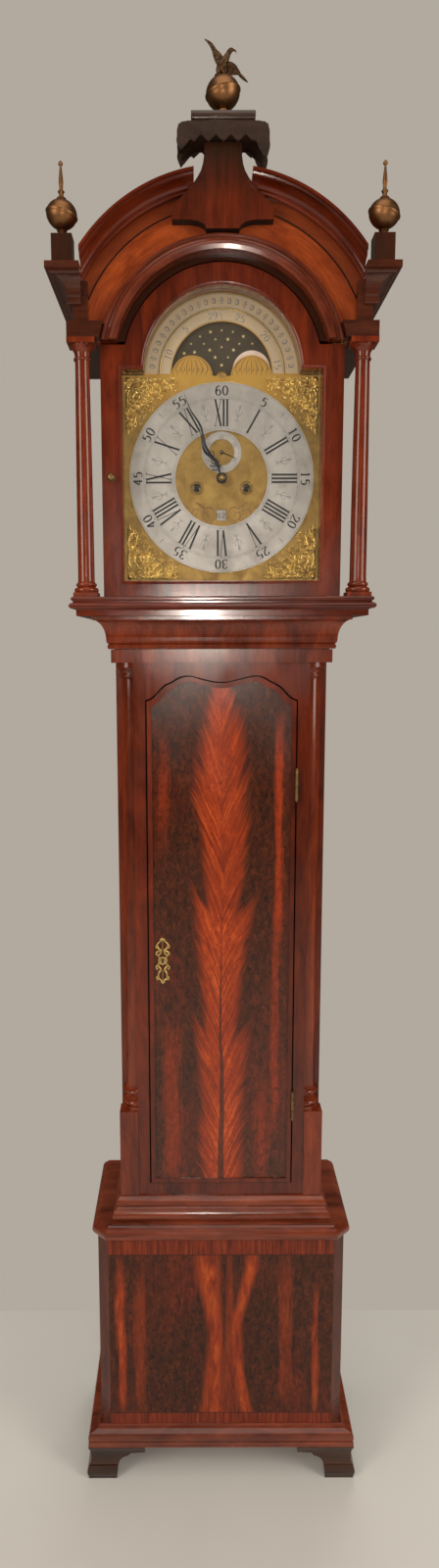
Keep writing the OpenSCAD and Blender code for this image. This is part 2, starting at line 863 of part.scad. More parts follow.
// Hour hand with its pipe and the wheel behind the dial that carries it
module hour_hand() {
    y = dial_front - 7.4;
    color(blued) translate([0, 0, dial_z]) rotate([0, hour_rest, 0]) difference() {
        union() {
            front_view(y, y + 1.4) {
                hand_outline(80, 5, 5, 1);
                circle(10);
            }
            bar(5.5, 0, 0, y, -22);
            front_view(-24, -22) rotate(hour_rest) toothed(72, hour_module, 0);
        }
        bar(3.55, 0, 0, y - 2, -20);
    }
}

module seconds_hand() {
    y = dial_front - 4.6;
    color(blued) translate([0, 0, seconds_z]) rotate([0, seconds_rest, 0]) difference() {
        front_view(y, y + 0.8) {
            polygon([[-1.6, -12], [1.6, -12], [0.4, 27], [-0.4, 27]]);
            circle(3.2);
        }
        bar(1.5, 0, 0, y - 2, y + 3);
    }
}

// ---- Movement ----

front_plate = -15;
back_plate = 50;
plate_t = 3;
third_at = [12.7, 22.1];
motion_drop = 27;
train_module = 0.75;
hour_module = 2 * motion_drop / 78;
great_module = 2 * norm([wind_x, wind_drop]) / 104;
pallet_z = seconds_z + 28;
pendulum_y = 72;
line_y = 14;
pulley_r = 17;

// Wheel outline with pointed teeth, one of them at the given angle
module toothed(teeth, m, angle, slack = 0.3) {
    r = teeth * m / 2 - slack;
    polygon([for (i = [0:2 * teeth - 1])
        let (a = angle + 180 * i / teeth, q = i % 2 == 0 ? r + 0.85 * m : r - 0.85 * m)
        [q * cos(a), q * sin(a)]]);
}

// Wheel of the given width with one tooth at the given angle, its web pierced by windows
module wheel(teeth, m, angle, y0, y1) {
    r = teeth * m / 2;
    front_view(y0, y1) difference() {
        toothed(teeth, m, angle);
        for (i = [0:3]) rotate(45 + 90 * i) translate([r * 0.52, 0]) circle(r * 0.27);
    }
}

// Movement plates with their pillars, the bell's stand and the bracket that hangs the pendulum
module movement_frame() {
    x = 64;
    low = dial_z - 80 + joint;
    high = dial_z + 88;
    color(brass) difference() {
        union() {
            block([-x, front_plate, low], [x, front_plate + plate_t, high]);
            block([-x, back_plate, low], [x, back_plate + plate_t, high]);
            for (s = [-1, 1]) {
                bar(6, s * 56, low + 12, front_plate + 1, back_plate + 1);
                bar(5, s * 36, high - 8, front_plate + 1, back_plate + 1);
            }
            block([-8, back_plate + 1, pallet_z + 8], [8, 84, pallet_z + 13]);
            block([-8, 60, pallet_z - 8], [8, 65, pallet_z + 9]);
            block([-8, 79, pallet_z - 8], [8, 84, pallet_z + 9]);
            block([-4, back_plate + 1, high - 20], [4, back_plate + 4.5, 1986]);
            block([-4, 1, 1982], [4, back_plate + 2, 1986]);
        }
        for (s = [-1, 1]) {
            bar(4.05, s * wind_x, wind_z, -20, 20);
            bar(2.05, s * wind_x, wind_z, 40, 60);
        }
        bar(3.55, 0, dial_z, -20, 20);
        bar(1.55, 0, dial_z, 40, 60);
        bar(1.55, third_at[0], dial_z + third_at[1], -20, 60);
        bar(1.55, 0, seconds_z, -20, 60);
        bar(2.05, 0, pallet_z, -20, 90);
        bar(1.55, 0, dial_z - motion_drop, -20, -10);
        bar(2.05, -55, 1895, -20, 60);
    }
}

// Drum, flanges and the arbor whose square end takes the key
module drum(y0, y1) {
    bar(4, 0, 0, -44.5, 40);
    bar(2, 0, 0, 39, back_plate + plate_t);
    bar(barrel_r - 1, 0, 0, y0, y1);
    bar(barrel_r + 4, 0, 0, y0, y0 + 1.5);
    bar(barrel_r + 4, 0, 0, y1 - 1.5, y1);
}

module going_barrel() {
    color(brass) translate([wind_x, 0, wind_z]) drum(-4.4, 34);
}

module great_wheel() {
    mesh = atan2(wind_drop, -wind_x);
    color(brass) translate([wind_x, 0, wind_z]) difference() {
        wheel(96, great_module, mesh, -8, -5);
        bar(4.05, 0, 0, -10, 0);
    }
}

module strike_barrel() {
    color(brass) translate([-wind_x, 0, wind_z]) {
        drum(-1, 34);
        wheel(84, great_module, 0, -4.2, -1.2);
        bar(6, 0, 0, -4.2, -0.9);
    }
}

// Arbor that carries the minute hand, its wheel and pinion, and the wheel that drives the hour
module centre_wheel() {
    to_great = atan2(-wind_drop, wind_x);
    to_third = atan2(third_at[1], third_at[0]);
    color(brass) translate([0, 0, dial_z]) {
        bar(3.5, 0, 0, dial_front - 14, -10.5);
        bar(2.2, 0, 0, -11, back_plate - 1);
        bar(1.5, 0, 0, back_plate - 2, back_plate + plate_t);
        front_view(-9.5, -3.5) toothed(8, great_module, to_great + 22.5);
        wheel(60, train_module, to_third, 37, 39);
        bar(6, 0, 0, 35, 41);
        front_view(-20, -18) toothed(36, train_module, -90);
    }
}

module third_wheel() {
    to_centre = atan2(-third_at[1], -third_at[0]);
    to_escape = atan2(42 - third_at[1], -third_at[0]);
    color(brass) translate([third_at[0], 0, dial_z + third_at[1]]) {
        bar(2, 0, 0, -11.5, back_plate - 0.5);
        bar(1.5, 0, 0, front_plate, back_plate + plate_t);
        front_view(35.5, 40.5) toothed(8, train_module, to_centre + 22.5);
        wheel(56, train_module, to_escape, 43, 45);
        bar(5, 0, 0, 42, 46);
    }
}

// Arbor that carries the seconds hand
module escape_wheel() {
    to_third = atan2(third_at[1] - 42, third_at[0]);
    teeth = 30;
    color(brass) translate([0, 0, seconds_z]) {
        bar(1.5, 0, 0, dial_front - 5, back_plate + plate_t);
        bar(2, 0, 0, 17, 25);
        front_view(41.5, 46.5) toothed(7, train_module, to_third + 180 / 7);
        front_view(20, 21.5) difference() {
            polygon([for (i = [0:2 * teeth - 1])
                let (a = 180 * i / teeth, q = i % 2 == 0 ? 20 : 17)
                [q * cos(a), q * sin(a)]]);
            for (i = [0:3]) rotate(45 + 90 * i) translate([9, 0]) circle(4.6);
        }
    }
}

// Pallets over the escape wheel, with the crutch that pushes the pendulum
module anchor() {
    to_wheel = seconds_z - pallet_z;
    color(steel) translate([0, 0, pallet_z]) {
        bar(2, 0, 0, front_plate, 59);
        front_view(19.5, 22) {
            polygon(concat(
                arc([0, to_wheel], [28, 28], 40, 140, 16),
                arc([0, to_wheel], [22, 22], 140, 40, 16)
            ));
            circle(5);
        }
        block([-2, 56, -110], [2, 58, 0]);
        bar(5, 0, 0, 55.5, 58.5);
        block([-4.4, 56, -112], [4.4, 58, -105]);
        for (s = [-1, 1]) bar(1, s * 3.4, -108, 57, 77);
    }
}

// Wheel and pinion under the centre, between the minute and the hour wheels
module motion_wheel() {
    color(brass) translate([0, 0, dial_z - motion_drop]) {
        front_view(-20, -18) toothed(36, train_module, 95);
        front_view(-25, -21) toothed(6, hour_module, 120, 0.1);
        bar(1.5, 0, 0, -26, front_plate + plate_t);
    }
}

module bell() {
    outer = concat([[0, 1976]], arc([0, 1938], [40, 38], 88, 0, 12));
    inner = concat(arc([0, 1938], [37, 35], 0, 88, 12), [[0, 1973]]);
    color([0.75, 0.7, 0.5]) translate([0, 5, 0]) {
        rotate_extrude($fn = 96) polygon(concat(outer, inner));
        translate([0, 0, 1974]) cylinder(r = 3, h = 8 - joint);
    }
}

// Hammer that strikes the bell's rim
module hammer() {
    color(steel) translate([-55, 0, 1895]) {
        bar(2, 0, 0, front_plate, back_plate + plate_t);
        block([-2, 3, 0], [2, 7, 50]);
        translate([-4, 5, 51]) rotate([0, 90, 0]) cylinder(r = 5, h = 14);
    }
}

// ---- Pendulum and weights ----

bob_z = pallet_z - pendulum_l;

module pendulum_rod() {
    color(steel) {
        bar(2, 0, pallet_z, 60, 84);
        block([-3, pendulum_y - 3, pallet_z - 20], [3, pendulum_y + 3, pallet_z + 2]);
        translate([0, pendulum_y, bob_z - 78]) cylinder(r = 2, h = pendulum_l + 60);
    }
}

// Brass-faced bob, with the nut below it that sets the rate
module pendulum_bob() {
    r = 58;
    half_t = 13;
    lens_r = (r * r + half_t * half_t) / (2 * half_t);
    color(brass) difference() {
        union() {
            intersection() {
                translate([0, pendulum_y - lens_r + half_t, bob_z]) sphere(r = lens_r, $fn = 128);
                translate([0, pendulum_y + lens_r - half_t, bob_z]) sphere(r = lens_r, $fn = 128);
                bar(r - 1, 0, bob_z, pendulum_y - 20, pendulum_y + 20);
            }
            translate([0, pendulum_y, bob_z - r - 10]) cylinder(r = 8, h = 8);
        }
        translate([0, pendulum_y, bob_z - 100]) cylinder(r = 2.05, h = 200);
    }
}

weight_z = 1060;
weight_h = 180;
pulley_z = weight_z + weight_h + 50;
going_line_x = wind_x - barrel_r;
strike_line_x = -wind_x - barrel_r;

// Cased weight with the stirrup that holds its pulley
module weight(x) {
    r = 28;
    top = weight_z + weight_h;
    translate([x, line_y, 0]) {
        rotate_extrude($fn = 96) polygon([
            [0, weight_z], [r - 3, weight_z], [r, weight_z + 4], [r, top - 6], [r - 4, top],
            [4, top + 2], [4, top + 16], [0, top + 16]
        ]);
        block([-5, -8, top + 14], [5, 8, top + 18]);
        for (s = [-1, 1]) translate([0, s * 7, 0]) block([-5, -1, top + 14], [5, 1, pulley_z + 6]);
    }
    bar(2, x, pulley_z, line_y - 8, line_y + 8);
}

module pulley(x) {
    difference() {
        turned_y(x, pulley_z) translate([0, line_y]) polygon([
            [0, -4], [19.5, -4], [19.5, -3], [16, -1.5], [16, 1.5], [19.5, 3], [19.5, 4], [0, 4]
        ]);
        bar(2.05, x, pulley_z, line_y - 9, line_y + 9);
    }
}

// The two falls of a gut line between the seatboard and the pulley
module falls(x) {
    for (s = [-1, 1])
        translate([x + s * pulley_r, line_y, pulley_z]) cylinder(r = 0.8, h = 1757 - pulley_z, $fn = 24);
}

module going_weight() {
    color(brass) weight(going_line_x + pulley_r);
}

module strike_weight() {
    color(brass) weight(strike_line_x + pulley_r);
}

module going_pulley() {
    color(brass) pulley(going_line_x + pulley_r);
}

module strike_pulley() {
    color(brass) pulley(strike_line_x + pulley_r);
}

module going_line() {
    color([0.8, 0.7, 0.5]) falls(going_line_x + pulley_r);
}

module strike_line() {
    color([0.8, 0.7, 0.5]) falls(strike_line_x + pulley_r);
}

// Board that carries the movement, drilled for the lines
module seatboard() {
    color(mahogany) difference() {
        block([-trunk_x, -24, 1735 + joint], [trunk_x, 62, 1757]);
        for (x = [going_line_x, strike_line_x]) for (s = [0, 2])
            translate([x + s * pulley_r, line_y, 1700]) cylinder(r = 5, h = 100);
    }
}

backboard();
base_panels();
canted_corners();
base_mouldings();
bracket_feet();
trunk_sides();
trunk_frame();
quarter_columns();
throat_moulding();
seatboard();
hinge_frame_leaves();
trunk_door();
trunk_door_bead();
trunk_escutcheon();
hinge_door_leaves();
hood_sides();
hood_base_moulding();
hood_columns();
hood_friezes();
tympanum();
inner_arch_moulding();
arched_cornice();
side_cornices();
hood_roof();
finial_plinths();
canopy();
side_finials();
eagle_finial();
dial_mask();
hood_door();
hood_glass();
hood_door_pivots();
hood_door_knob();
dial_plate();
dial_rings();
spandrels();
moon_disc();
date_ring();
minute_hand();
hour_hand();
seconds_hand();
movement_frame();
going_barrel();
great_wheel();
strike_barrel();
centre_wheel();
third_wheel();
escape_wheel();
anchor();
motion_wheel();
bell();
hammer();
pendulum_rod();
pendulum_bob();
going_weight();
strike_weight();
going_pulley();
strike_pulley();
going_line();
strike_line();
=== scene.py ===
"""Looks of a mahogany longcase clock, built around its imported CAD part."""
import json
import math
import random

import bmesh
import bpy
from mathutils import Matrix, Vector


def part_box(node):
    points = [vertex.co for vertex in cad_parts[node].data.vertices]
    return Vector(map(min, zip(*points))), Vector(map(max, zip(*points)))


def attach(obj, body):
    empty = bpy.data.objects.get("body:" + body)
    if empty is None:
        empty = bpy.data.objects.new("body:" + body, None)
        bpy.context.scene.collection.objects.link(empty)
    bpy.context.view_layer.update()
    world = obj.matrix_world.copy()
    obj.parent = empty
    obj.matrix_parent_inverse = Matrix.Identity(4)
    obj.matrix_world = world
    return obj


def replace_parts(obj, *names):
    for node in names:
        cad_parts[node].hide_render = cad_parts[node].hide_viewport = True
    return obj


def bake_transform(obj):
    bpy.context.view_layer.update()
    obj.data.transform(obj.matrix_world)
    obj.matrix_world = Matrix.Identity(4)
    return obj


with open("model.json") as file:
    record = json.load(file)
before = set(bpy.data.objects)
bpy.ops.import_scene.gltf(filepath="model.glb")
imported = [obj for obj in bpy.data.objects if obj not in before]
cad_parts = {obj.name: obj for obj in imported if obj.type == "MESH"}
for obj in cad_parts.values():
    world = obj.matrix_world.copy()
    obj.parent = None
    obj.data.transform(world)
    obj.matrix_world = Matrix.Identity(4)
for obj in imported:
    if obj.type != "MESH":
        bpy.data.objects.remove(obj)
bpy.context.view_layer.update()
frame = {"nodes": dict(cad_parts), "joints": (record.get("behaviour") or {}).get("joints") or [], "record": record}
NODES = frame["nodes"]
MM = 0.001
JOINTS = {j["name"]: j for j in frame["joints"]}


def pivot(joint):
    """Where a hinge stands, in millimetres."""
    return Vector(JOINTS[joint]["pos_m"]) / MM


def low(node):
    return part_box(node)[0] / MM


def high(node):
    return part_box(node)[1] / MM


# ---------------------------------------------------------------- materials


class Value:
    """A shader socket that plain arithmetic works on."""

    def __init__(self, shader, socket):
        self.shader, self.socket = shader, socket

    def __add__(self, other):
        return self.shader.math("ADD", self, other)

    def __radd__(self, other):
        return self.shader.math("ADD", other, self)

    def __sub__(self, other):
        return self.shader.math("SUBTRACT", self, other)

    def __mul__(self, other):
        return self.shader.math("MULTIPLY", self, other)

    def __truediv__(self, other):
        return self.shader.math("DIVIDE", self, other)

    def __pow__(self, other):
        return self.shader.math("POWER", self, other)

    def __abs__(self):
        return self.shader.math("ABSOLUTE", self)

    def split(self):
        split = self.shader.node("SeparateXYZ", self).socket.node
        return [Value(self.shader, out) for out in split.outputs]


class Shader:
    """A material under construction."""

    def __init__(self, name, **sockets):
        self.mat = bpy.data.materials.new(name)
        self.mat.use_nodes = True
        self.tree = self.mat.node_tree
        self.bsdf = self.tree.nodes["Principled BSDF"]
        for key, value in sockets.items():
            self.set(key, value)

    def set(self, key, value):
        self.put(self.bsdf.inputs[key.replace("_", " ")], value)

    def put(self, socket, value):
        if isinstance(value, Value):
            self.tree.links.new(value.socket, socket)
        elif isinstance(value, tuple) and socket.type == "RGBA":
            socket.default_value = (*value, 1.0)
        else:
            socket.default_value = value

    def node(self, kind, *inputs, out=0, **props):
        made = self.tree.nodes.new("ShaderNode" + kind)
        for key, value in props.items():
            setattr(made, key, value)
        for socket, value in zip(made.inputs, inputs):
            self.put(socket, value)
        return Value(self, made.outputs[out])

    def where(self, *factors):
        """The place in the object's frame, stretched by three factors if they are given."""
        place = self.node("TexCoord", out=3)
        return self.scaled(place, factors) if factors else place

    def math(self, op, *inputs):
        return self.node("Math", *inputs, operation=op)

    def scaled(self, vector, factors):
        return self.node("VectorMath", vector, factors, operation="MULTIPLY")

    def vector(self, *parts):
        return self.node("CombineXYZ", *parts)

    def within(self, value, start, end, first=0.0, last=1.0):
        return self.node("MapRange", value, start, end, first, last)

    def noise(self, vector, detail=4.0, rough=0.5, warp=0.0):
        made = self.node("TexNoise").socket.node
        self.put(made.inputs["Vector"], vector)
        made.inputs["Scale"].default_value = 1.0
        made.inputs["Detail"].default_value = detail
        made.inputs["Roughness"].default_value = rough
        made.inputs["Distortion"].default_value = warp
        return Value(self, made.outputs[0])

    def ramp(self, factor, *stops):
        made = self.node("ValToRGB", factor).socket.node
        elements = made.color_ramp.elements
        while len(elements) < len(stops):
            elements.new(0.5)
        for element, (at, colour) in zip(elements, stops):
            element.position = at
            element.color = (*((colour,) * 3 if isinstance(colour, float) else colour), 1.0)
        return Value(self, made.outputs[0])

    def mix(self, factor, a, b, blend="MIX"):
        made = self.tree.nodes.new("ShaderNodeMix")
        made.data_type = "RGBA"
        made.blend_type = blend
        for socket, value in zip((made.inputs[0], made.inputs[6], made.inputs[7]), (factor, a, b)):
            self.put(socket, value)
        return Value(self, made.outputs[2])

    def darkened(self, share, colour, by, start, end, darkest):
        """The colour times a ramp from a dark grey up to white."""
        grey = self.ramp(by, (start, (darkest,) * 3), (end, (1.0,) * 3))
        return self.mix(share, colour, grey, "MULTIPLY")

    def bump(self, height, strength, distance):
        made = self.tree.nodes.new("ShaderNodeBump")
        made.inputs["Strength"].default_value = strength
        made.inputs["Distance"].default_value = distance
        self.put(made.inputs["Height"], height)
        self.put(self.bsdf.inputs["Normal"], Value(self, made.outputs[0]))

    def finish(self, colour, spread, low_rough, high_rough, fine, strength, distance):
        """Colour, a roughness that follows another noise, and a bump."""
        self.set("Base_Color", colour)
        self.set("Roughness", self.ramp(spread, low_rough, high_rough))
        self.bump(fine, strength, distance)
        return self.mat


DARK = (0.034, 0.0045, 0.0015)
MID = (0.120, 0.012, 0.0028)
LIT = (0.25, 0.034, 0.006)
ARCH_Z = pivot("moon_disc_turn").z * MM
CROWN_Z = 2.009
COAT = 0.18


def dimmed(colour, share):
    return tuple(share * c for c in colour)


def from_centre(s, x, z, centre_z):
    """(height over a centre, distance from it)"""
    up = z - centre_z
    return up, s.math("SQRT", x * x + up * up)


def grain_vector(s, grain, centre):
    """Position with its first axis along the grain: x, y, z, or round an arch about a height."""
    x, y, z = s.where().split()
    if grain == "arch":
        up, radius = from_centre(s, x, z, centre)
        return s.vector(s.math("ARCTAN2", up, x) * 0.25, y, radius)
    return s.vector(*{"x": (x, y, z), "y": (y, x, z), "z": (z, y, x)}[grain])


def polish(s, colour, grain_height, haze, coat=COAT):
    """French polish over open pores, with a little haze and dust."""
    s.set("Coat_Weight", coat)
    s.set("Coat_Roughness", 0.07)
    s.set("Coat_IOR", 1.5)
    return s.finish(colour, haze, (0.3, 0.13), (0.75, 0.30), grain_height, 0.12, 0.0006)


def wood(name, grain="z", dark=DARK, mid=MID, lit=LIT, centre=0.0, figure=1.0, gloss=True, tint=None,
         coat=COAT):
    """Straight grained wood; tint(shader, colour) may change the colour by place."""
    s = Shader(name)
    v = grain_vector(s, grain, centre)
    stripes = s.noise(s.scaled(v, (1.1, 26.0, 26.0)), 3.0, 0.55, 0.6)
    fibres = s.noise(s.scaled(v, (14.0, 420.0, 420.0)), 3.0, 0.6)
    pores = s.noise(s.scaled(v, (60.0, 1500.0, 1500.0)), 1.0, 0.5)
    mottle = s.noise(s.scaled(v, (9.0, 30.0, 30.0)), 4.0, 0.6, 1.2)
    base = s.ramp(stripes, (0.30, dark), (0.52, mid), (0.74, lit))
    base = s.mix(0.45 * figure, base, s.ramp(mottle, (0.3, dark), (0.7, lit)))
    base = s.darkened(0.35, base, fibres, 0.35, 0.65, 0.3)
    base = s.darkened(0.30, base, pores, 0.36, 0.46, 0.2)
    if tint:
        base = tint(s, base)
    haze = s.noise(s.scaled(v, (5.0, 9.0, 9.0)), 3.0, 0.6)
    if gloss:
        return polish(s, base, fibres, haze, coat)
    s.set("Specular_IOR_Level", 0.28)
    return s.finish(base, haze, (0.3, 0.5), (0.7, 0.75), fibres, 0.35, 0.001)


def streaked(s, x, z, streak):
    """Ragged upright streak of lighter wood: (middle, half width, lowest, highest, seed, strength)."""
    at, half, low_z, high_z, seed, level = streak
    wobble = s.noise(s.vector(x * 90.0, seed, z * 7.0), 5.0, 0.65, 0.4)
    edge = abs(x - at) / half + (wobble - 0.5) * 2.2
    ends = s.within(z, low_z, low_z + 0.07, 0.0, level) * s.within(z, high_z - 0.09, high_z, 1.0, 0.0)
    return s.ramp(edge, (0.35, 1.0), (1.0, 0.0)) * ends


def mottled(s):
    """Dark curly ground of the crotch veneers, with a few redder patches."""
    curl = s.noise(s.where(120.0, 120.0, 70.0), 6.0, 0.72, 0.9)
    flow = s.noise(s.where(46.0, 20.0, 12.0), 5.0, 0.65, 1.4)
    red = s.noise(s.where(11.0, 1.0, 3.4), 4.0, 0.6, 0.4)
    shade = s.ramp(curl, (0.34, (0.020, 0.005, 0.002)), (0.52, (0.074, 0.015, 0.004)),
                   (0.70, (0.150, 0.032, 0.008)))
    warm = s.ramp(curl, (0.30, (0.08, 0.008, 0.002)), (0.68, (0.26, 0.030, 0.007)))
    shade = s.mix(s.ramp(red, (0.50, 0.0), (0.72, 0.8)), shade, warm)
    return s.darkened(0.55, shade, flow, 0.36, 0.62, 0.42), curl


def flame(name, widths, stem_widths, z0, z1, lit, rim):
    """Crotch veneer: a plume of bright barbs that sweep up and out from a dark stem."""
    s = Shader(name)
    x, _, z = s.where().split()
    across = x - (s.noise(s.where(0.0, 0.0, 3.0), 2.0) - 0.5) * 0.030
    side = abs(across)
    # The barbs leave the stem steeply and bend outwards
    bend = s.noise(s.where(7.0, 1.0, 6.0), 3.0, 0.6, 0.6)
    along = z - side ** 0.80 * (0.85 + bend * 0.9)
    ground, curl = mottled(s)
    barbs = s.noise(s.vector(along * 85.0, across * 16.0, 0.0), 8.0, 0.68, 1.1) * 0.62 + curl * 0.38
    fine = s.noise(s.vector(along * 420.0, across * 75.0, 0.0), 4.0, 0.65, 0.3)
    ragged = s.noise(s.vector(along * 52.0, across * 14.0, 3.0), 8.0, 0.75, 0.6)
    # The plume grows in tiers, each wider towards its top
    reach = side / (s.ramp(s.within(along, z0, z1), *widths) * 0.1)
    reach = reach + (ragged - 0.5) * 1.5 + (curl - 0.5) * 0.7
    plume = s.ramp(reach, (0.62, 1.0), (1.12, 0.0))
    glow = s.noise(s.where(14.0, 1.0, 5.5), 3.0, 0.6, 0.5)
    bright = s.ramp(barbs, (0.36, dimmed(rim, 0.42)), (0.49, rim), (0.60, lit))
    bright = s.mix(s.ramp(glow, (0.35, 0.75), (0.62, 0.0)), bright,
                   s.ramp(barbs, (0.3, dimmed(rim, 0.35)), (0.7, rim)))
    bright = s.mix(s.ramp(reach, (0.25, 0.0), (0.95, 0.8)), bright,
                   s.ramp(barbs, (0.35, dimmed(rim, 0.3)), (0.65, rim)))
    colour = s.mix(plume, ground, bright)
    height = s.within(z, z0, z1)
    stem = side / (s.ramp(height, *stem_widths) * 0.01 + ragged * 0.0012)
    faint = s.ramp(height, (0.0, 0.85), (0.40, 0.75), (0.52, 0.25), (1.0, 0.15))
    colour = s.mix(s.ramp(stem, (0.7, 1.0), (1.1, 0.0)) * faint, colour, (0.05, 0.012, 0.006))
    colour = s.darkened(0.45, colour, fine, 0.36, 0.6, 0.35)
    for streak in (
        (0.101, 0.010, 1.02, 1.46, 7.0, 0.9), (0.097, 0.010, 0.66, 1.10, 9.0, 0.45),
        (-0.100, 0.012, 1.20, 1.42, 2.0, 0.4), (-0.090, 0.020, 0.56, 0.92, 5.0, 0.5),
        (0.075, 0.016, 0.56, 0.80, 6.0, 0.45),
    ):
        light = s.ramp(curl, (0.3, dimmed(rim, 0.4)), (0.7, dimmed(rim, 1.15)))
        colour = s.mix(streaked(s, x, z, streak), colour, light)
    return polish(s, colour, fine, s.noise(s.where(7.0, 7.0, 4.0), 3.0))


def hourglass(name, z0, z1):
    """Base panel: two bright strips that draw together half way up, between crossbands."""
    s = Shader(name)
    x, _, z = s.where().split()
    height = s.within(z, z0, z1)
    colour, curl = mottled(s)
    ragged = s.noise(s.vector(x * 60.0, 1.0, z * 16.0), 6.0, 0.7, 0.5)
    fibres = s.noise(s.where(330.0, 330.0, 26.0), 4.0, 0.6, 0.3)
    lit = s.ramp(ragged, (0.35, (0.16, 0.017, 0.003)), (0.52, (0.36, 0.045, 0.007)),
                 (0.66, (0.56, 0.095, 0.012)))
    strips = (
        # middle and half width by height, both as shares of the panel, and strength
        (((0.0, 0.40), (0.5, 0.46), (0.75, 0.39), (1.0, 0.36)),
         ((0.0, 0.22), (0.5, 0.12), (0.8, 0.22), (1.0, 0.22)), 0.9),
        (((0.0, 0.76), (0.3, 0.66), (0.55, 0.64), (0.85, 0.78), (1.0, 0.80)),
         ((0.0, 0.12), (0.5, 0.09), (0.9, 0.12), (1.0, 0.03)), 0.9),
        (((0.0, 0.58), (1.0, 0.58)), ((0.0, 0.2), (0.6, 0.08), (1.0, 0.04)), 0.45),
    )
    for middle, half, level in strips:
        edge = abs(x - (s.ramp(height, *middle) - 0.5) * 0.2) / (s.ramp(height, *half) * 0.125)
        edge = edge + (ragged - 0.5) * 1.8 + (curl - 0.5) * 0.8
        colour = s.mix(s.ramp(edge, (0.5, level), (1.15, 0.0)), colour, lit)
    for streak in (
        (-0.186, 0.010, z0, z1 - 0.02, 3.0, 1.0), (-0.150, 0.014, z0, z1 - 0.05, 4.0, 0.45),
        (0.176, 0.008, z0, z1 - 0.06, 8.0, 0.8), (0.120, 0.016, z0 + 0.03, z1, 11.0, 0.45),
    ):
        colour = s.mix(streaked(s, x, z, streak), colour, lit)
    band = s.ramp(height, (0.0, 1.0), (0.058, 1.0), (0.062, 0.0), (0.918, 0.0), (0.922, 1.0), (1.0, 1.0))
    cross = s.noise(s.where(150.0, 150.0, 9.0), 5.0, 0.6, 0.3)
    cross = s.ramp(cross, (0.3, (0.07, 0.008, 0.002)), (0.52, (0.19, 0.022, 0.004)),
                   (0.7, (0.32, 0.050, 0.009)))
    colour = s.mix(band, colour, cross)
    line = s.ramp(height, (0.056, 0.0), (0.059, 1.0), (0.063, 0.0), (0.915, 0.0), (0.920, 1.0), (0.924, 0.0))
    colour = s.mix(line, colour, (0.02, 0.007, 0.004))
    colour = s.darkened(0.4, colour, fibres, 0.36, 0.6, 0.35)
    s.set("Specular_IOR_Level", 0.34)
    return polish(s, colour, fibres, s.noise(s.where(7.0, 7.0, 4.0), 3.0), 0.05)


def metal(name, colour, dark, rough=0.28, scale=60.0, grime=0.5, strength=0.12, tint=None):
    """Old metal: tarnish in patches, fine scratches and a soft bump."""
    s = Shader(name, Metallic=1.0)
    patches = s.noise(s.where(scale, scale, scale), 5.0, 0.6, 0.4)
    fine = s.noise(s.where(900.0, 900.0, 900.0), 2.0, 0.6)
    base = s.mix(s.ramp(patches, (0.35, grime), (0.65, 0.0)), colour, dark)
    base = s.darkened(0.25, base, fine, 0.3, 0.7, 0.6)
    if tint:
        base = tint(s, base)
    return s.finish(base, patches, (0.3, rough + 0.14), (0.7, rough), fine, strength, 0.0004)


def paint(name, colour, dark, rough=0.5, scale=400.0, metallic=0.0):
    s = Shader(name, Metallic=metallic)
    specks = s.noise(s.where(scale, scale, scale), 4.0, 0.6)
    clouds = s.noise(s.where(scale / 14, scale / 14, scale / 14), 4.0, 0.6, 0.5)
    base = s.mix(s.ramp(clouds, (0.4, 0.0), (0.7, 0.5)), colour, dark)
    base = s.darkened(0.2, base, specks, 0.3, 0.6, 0.6)
    return s.finish(base, clouds, (0.3, rough + 0.1), (0.7, rough), specks, 0.1, 0.0003)


def arch_shades(s, colour):
    """Deep shade inside the arched moulding, and a browner outer band."""
    x, _, z = s.where().split()
    outer = s.ramp(from_centre(s, x, z, CROWN_Z)[1], (0.2325, 0.0), (0.2335, 0.55))
    colour = s.mix(outer, colour, (0.14, 0.028, 0.009))
    inner = s.ramp(from_centre(s, x, z, ARCH_Z)[1], (0.1745, 0.93), (0.1755, 0.0))
    return s.mix(inner, colour, (0.010, 0.004, 0.002))


def crest_shades(s, colour):
    """Painted shade on the corner blocks, and darker towards the top of the pedestal."""
    height = s.within(s.where().split()[2], 2.15, 2.35)
    shade_and_darkening = s.ramp(height, (0.0, 0.80), (0.20, 0.80), (0.24, 0.15), (0.45, 0.25), (0.78, 0.85), (1.0, 0.9))
    return s.mix(shade_and_darkening, colour, (0.022, 0.011, 0.006))


def arch_silver(s, colour):
    """The rings in the arch are painted lighter and yellower: painted light where the hood shades them."""
    height = s.within(s.where().split()[2], 1.985, 2.0)
    return s.mix(height, colour, s.mix(0.75, colour, (0.98, 0.76, 0.46)))


def arch_brass(s, colour):
    """The plate is painted brighter in the arch: painted light where the hood shades it."""
    return s.mix(s.within(s.where().split()[2], 1.94, 1.99, 0.0, 0.7), colour, (0.98, 0.58, 0.12))


def pane(name):
    s = Shader(name, Metallic=0.0, IOR=1.5, Alpha=0.05)
    smear = s.noise(s.where(18.0, 18.0, 8.0), 4.0, 0.6)
    return s.finish((0.12, 0.14, 0.14), smear, (0.3, 0.02), (0.8, 0.09), smear, 0.02, 0.0005)


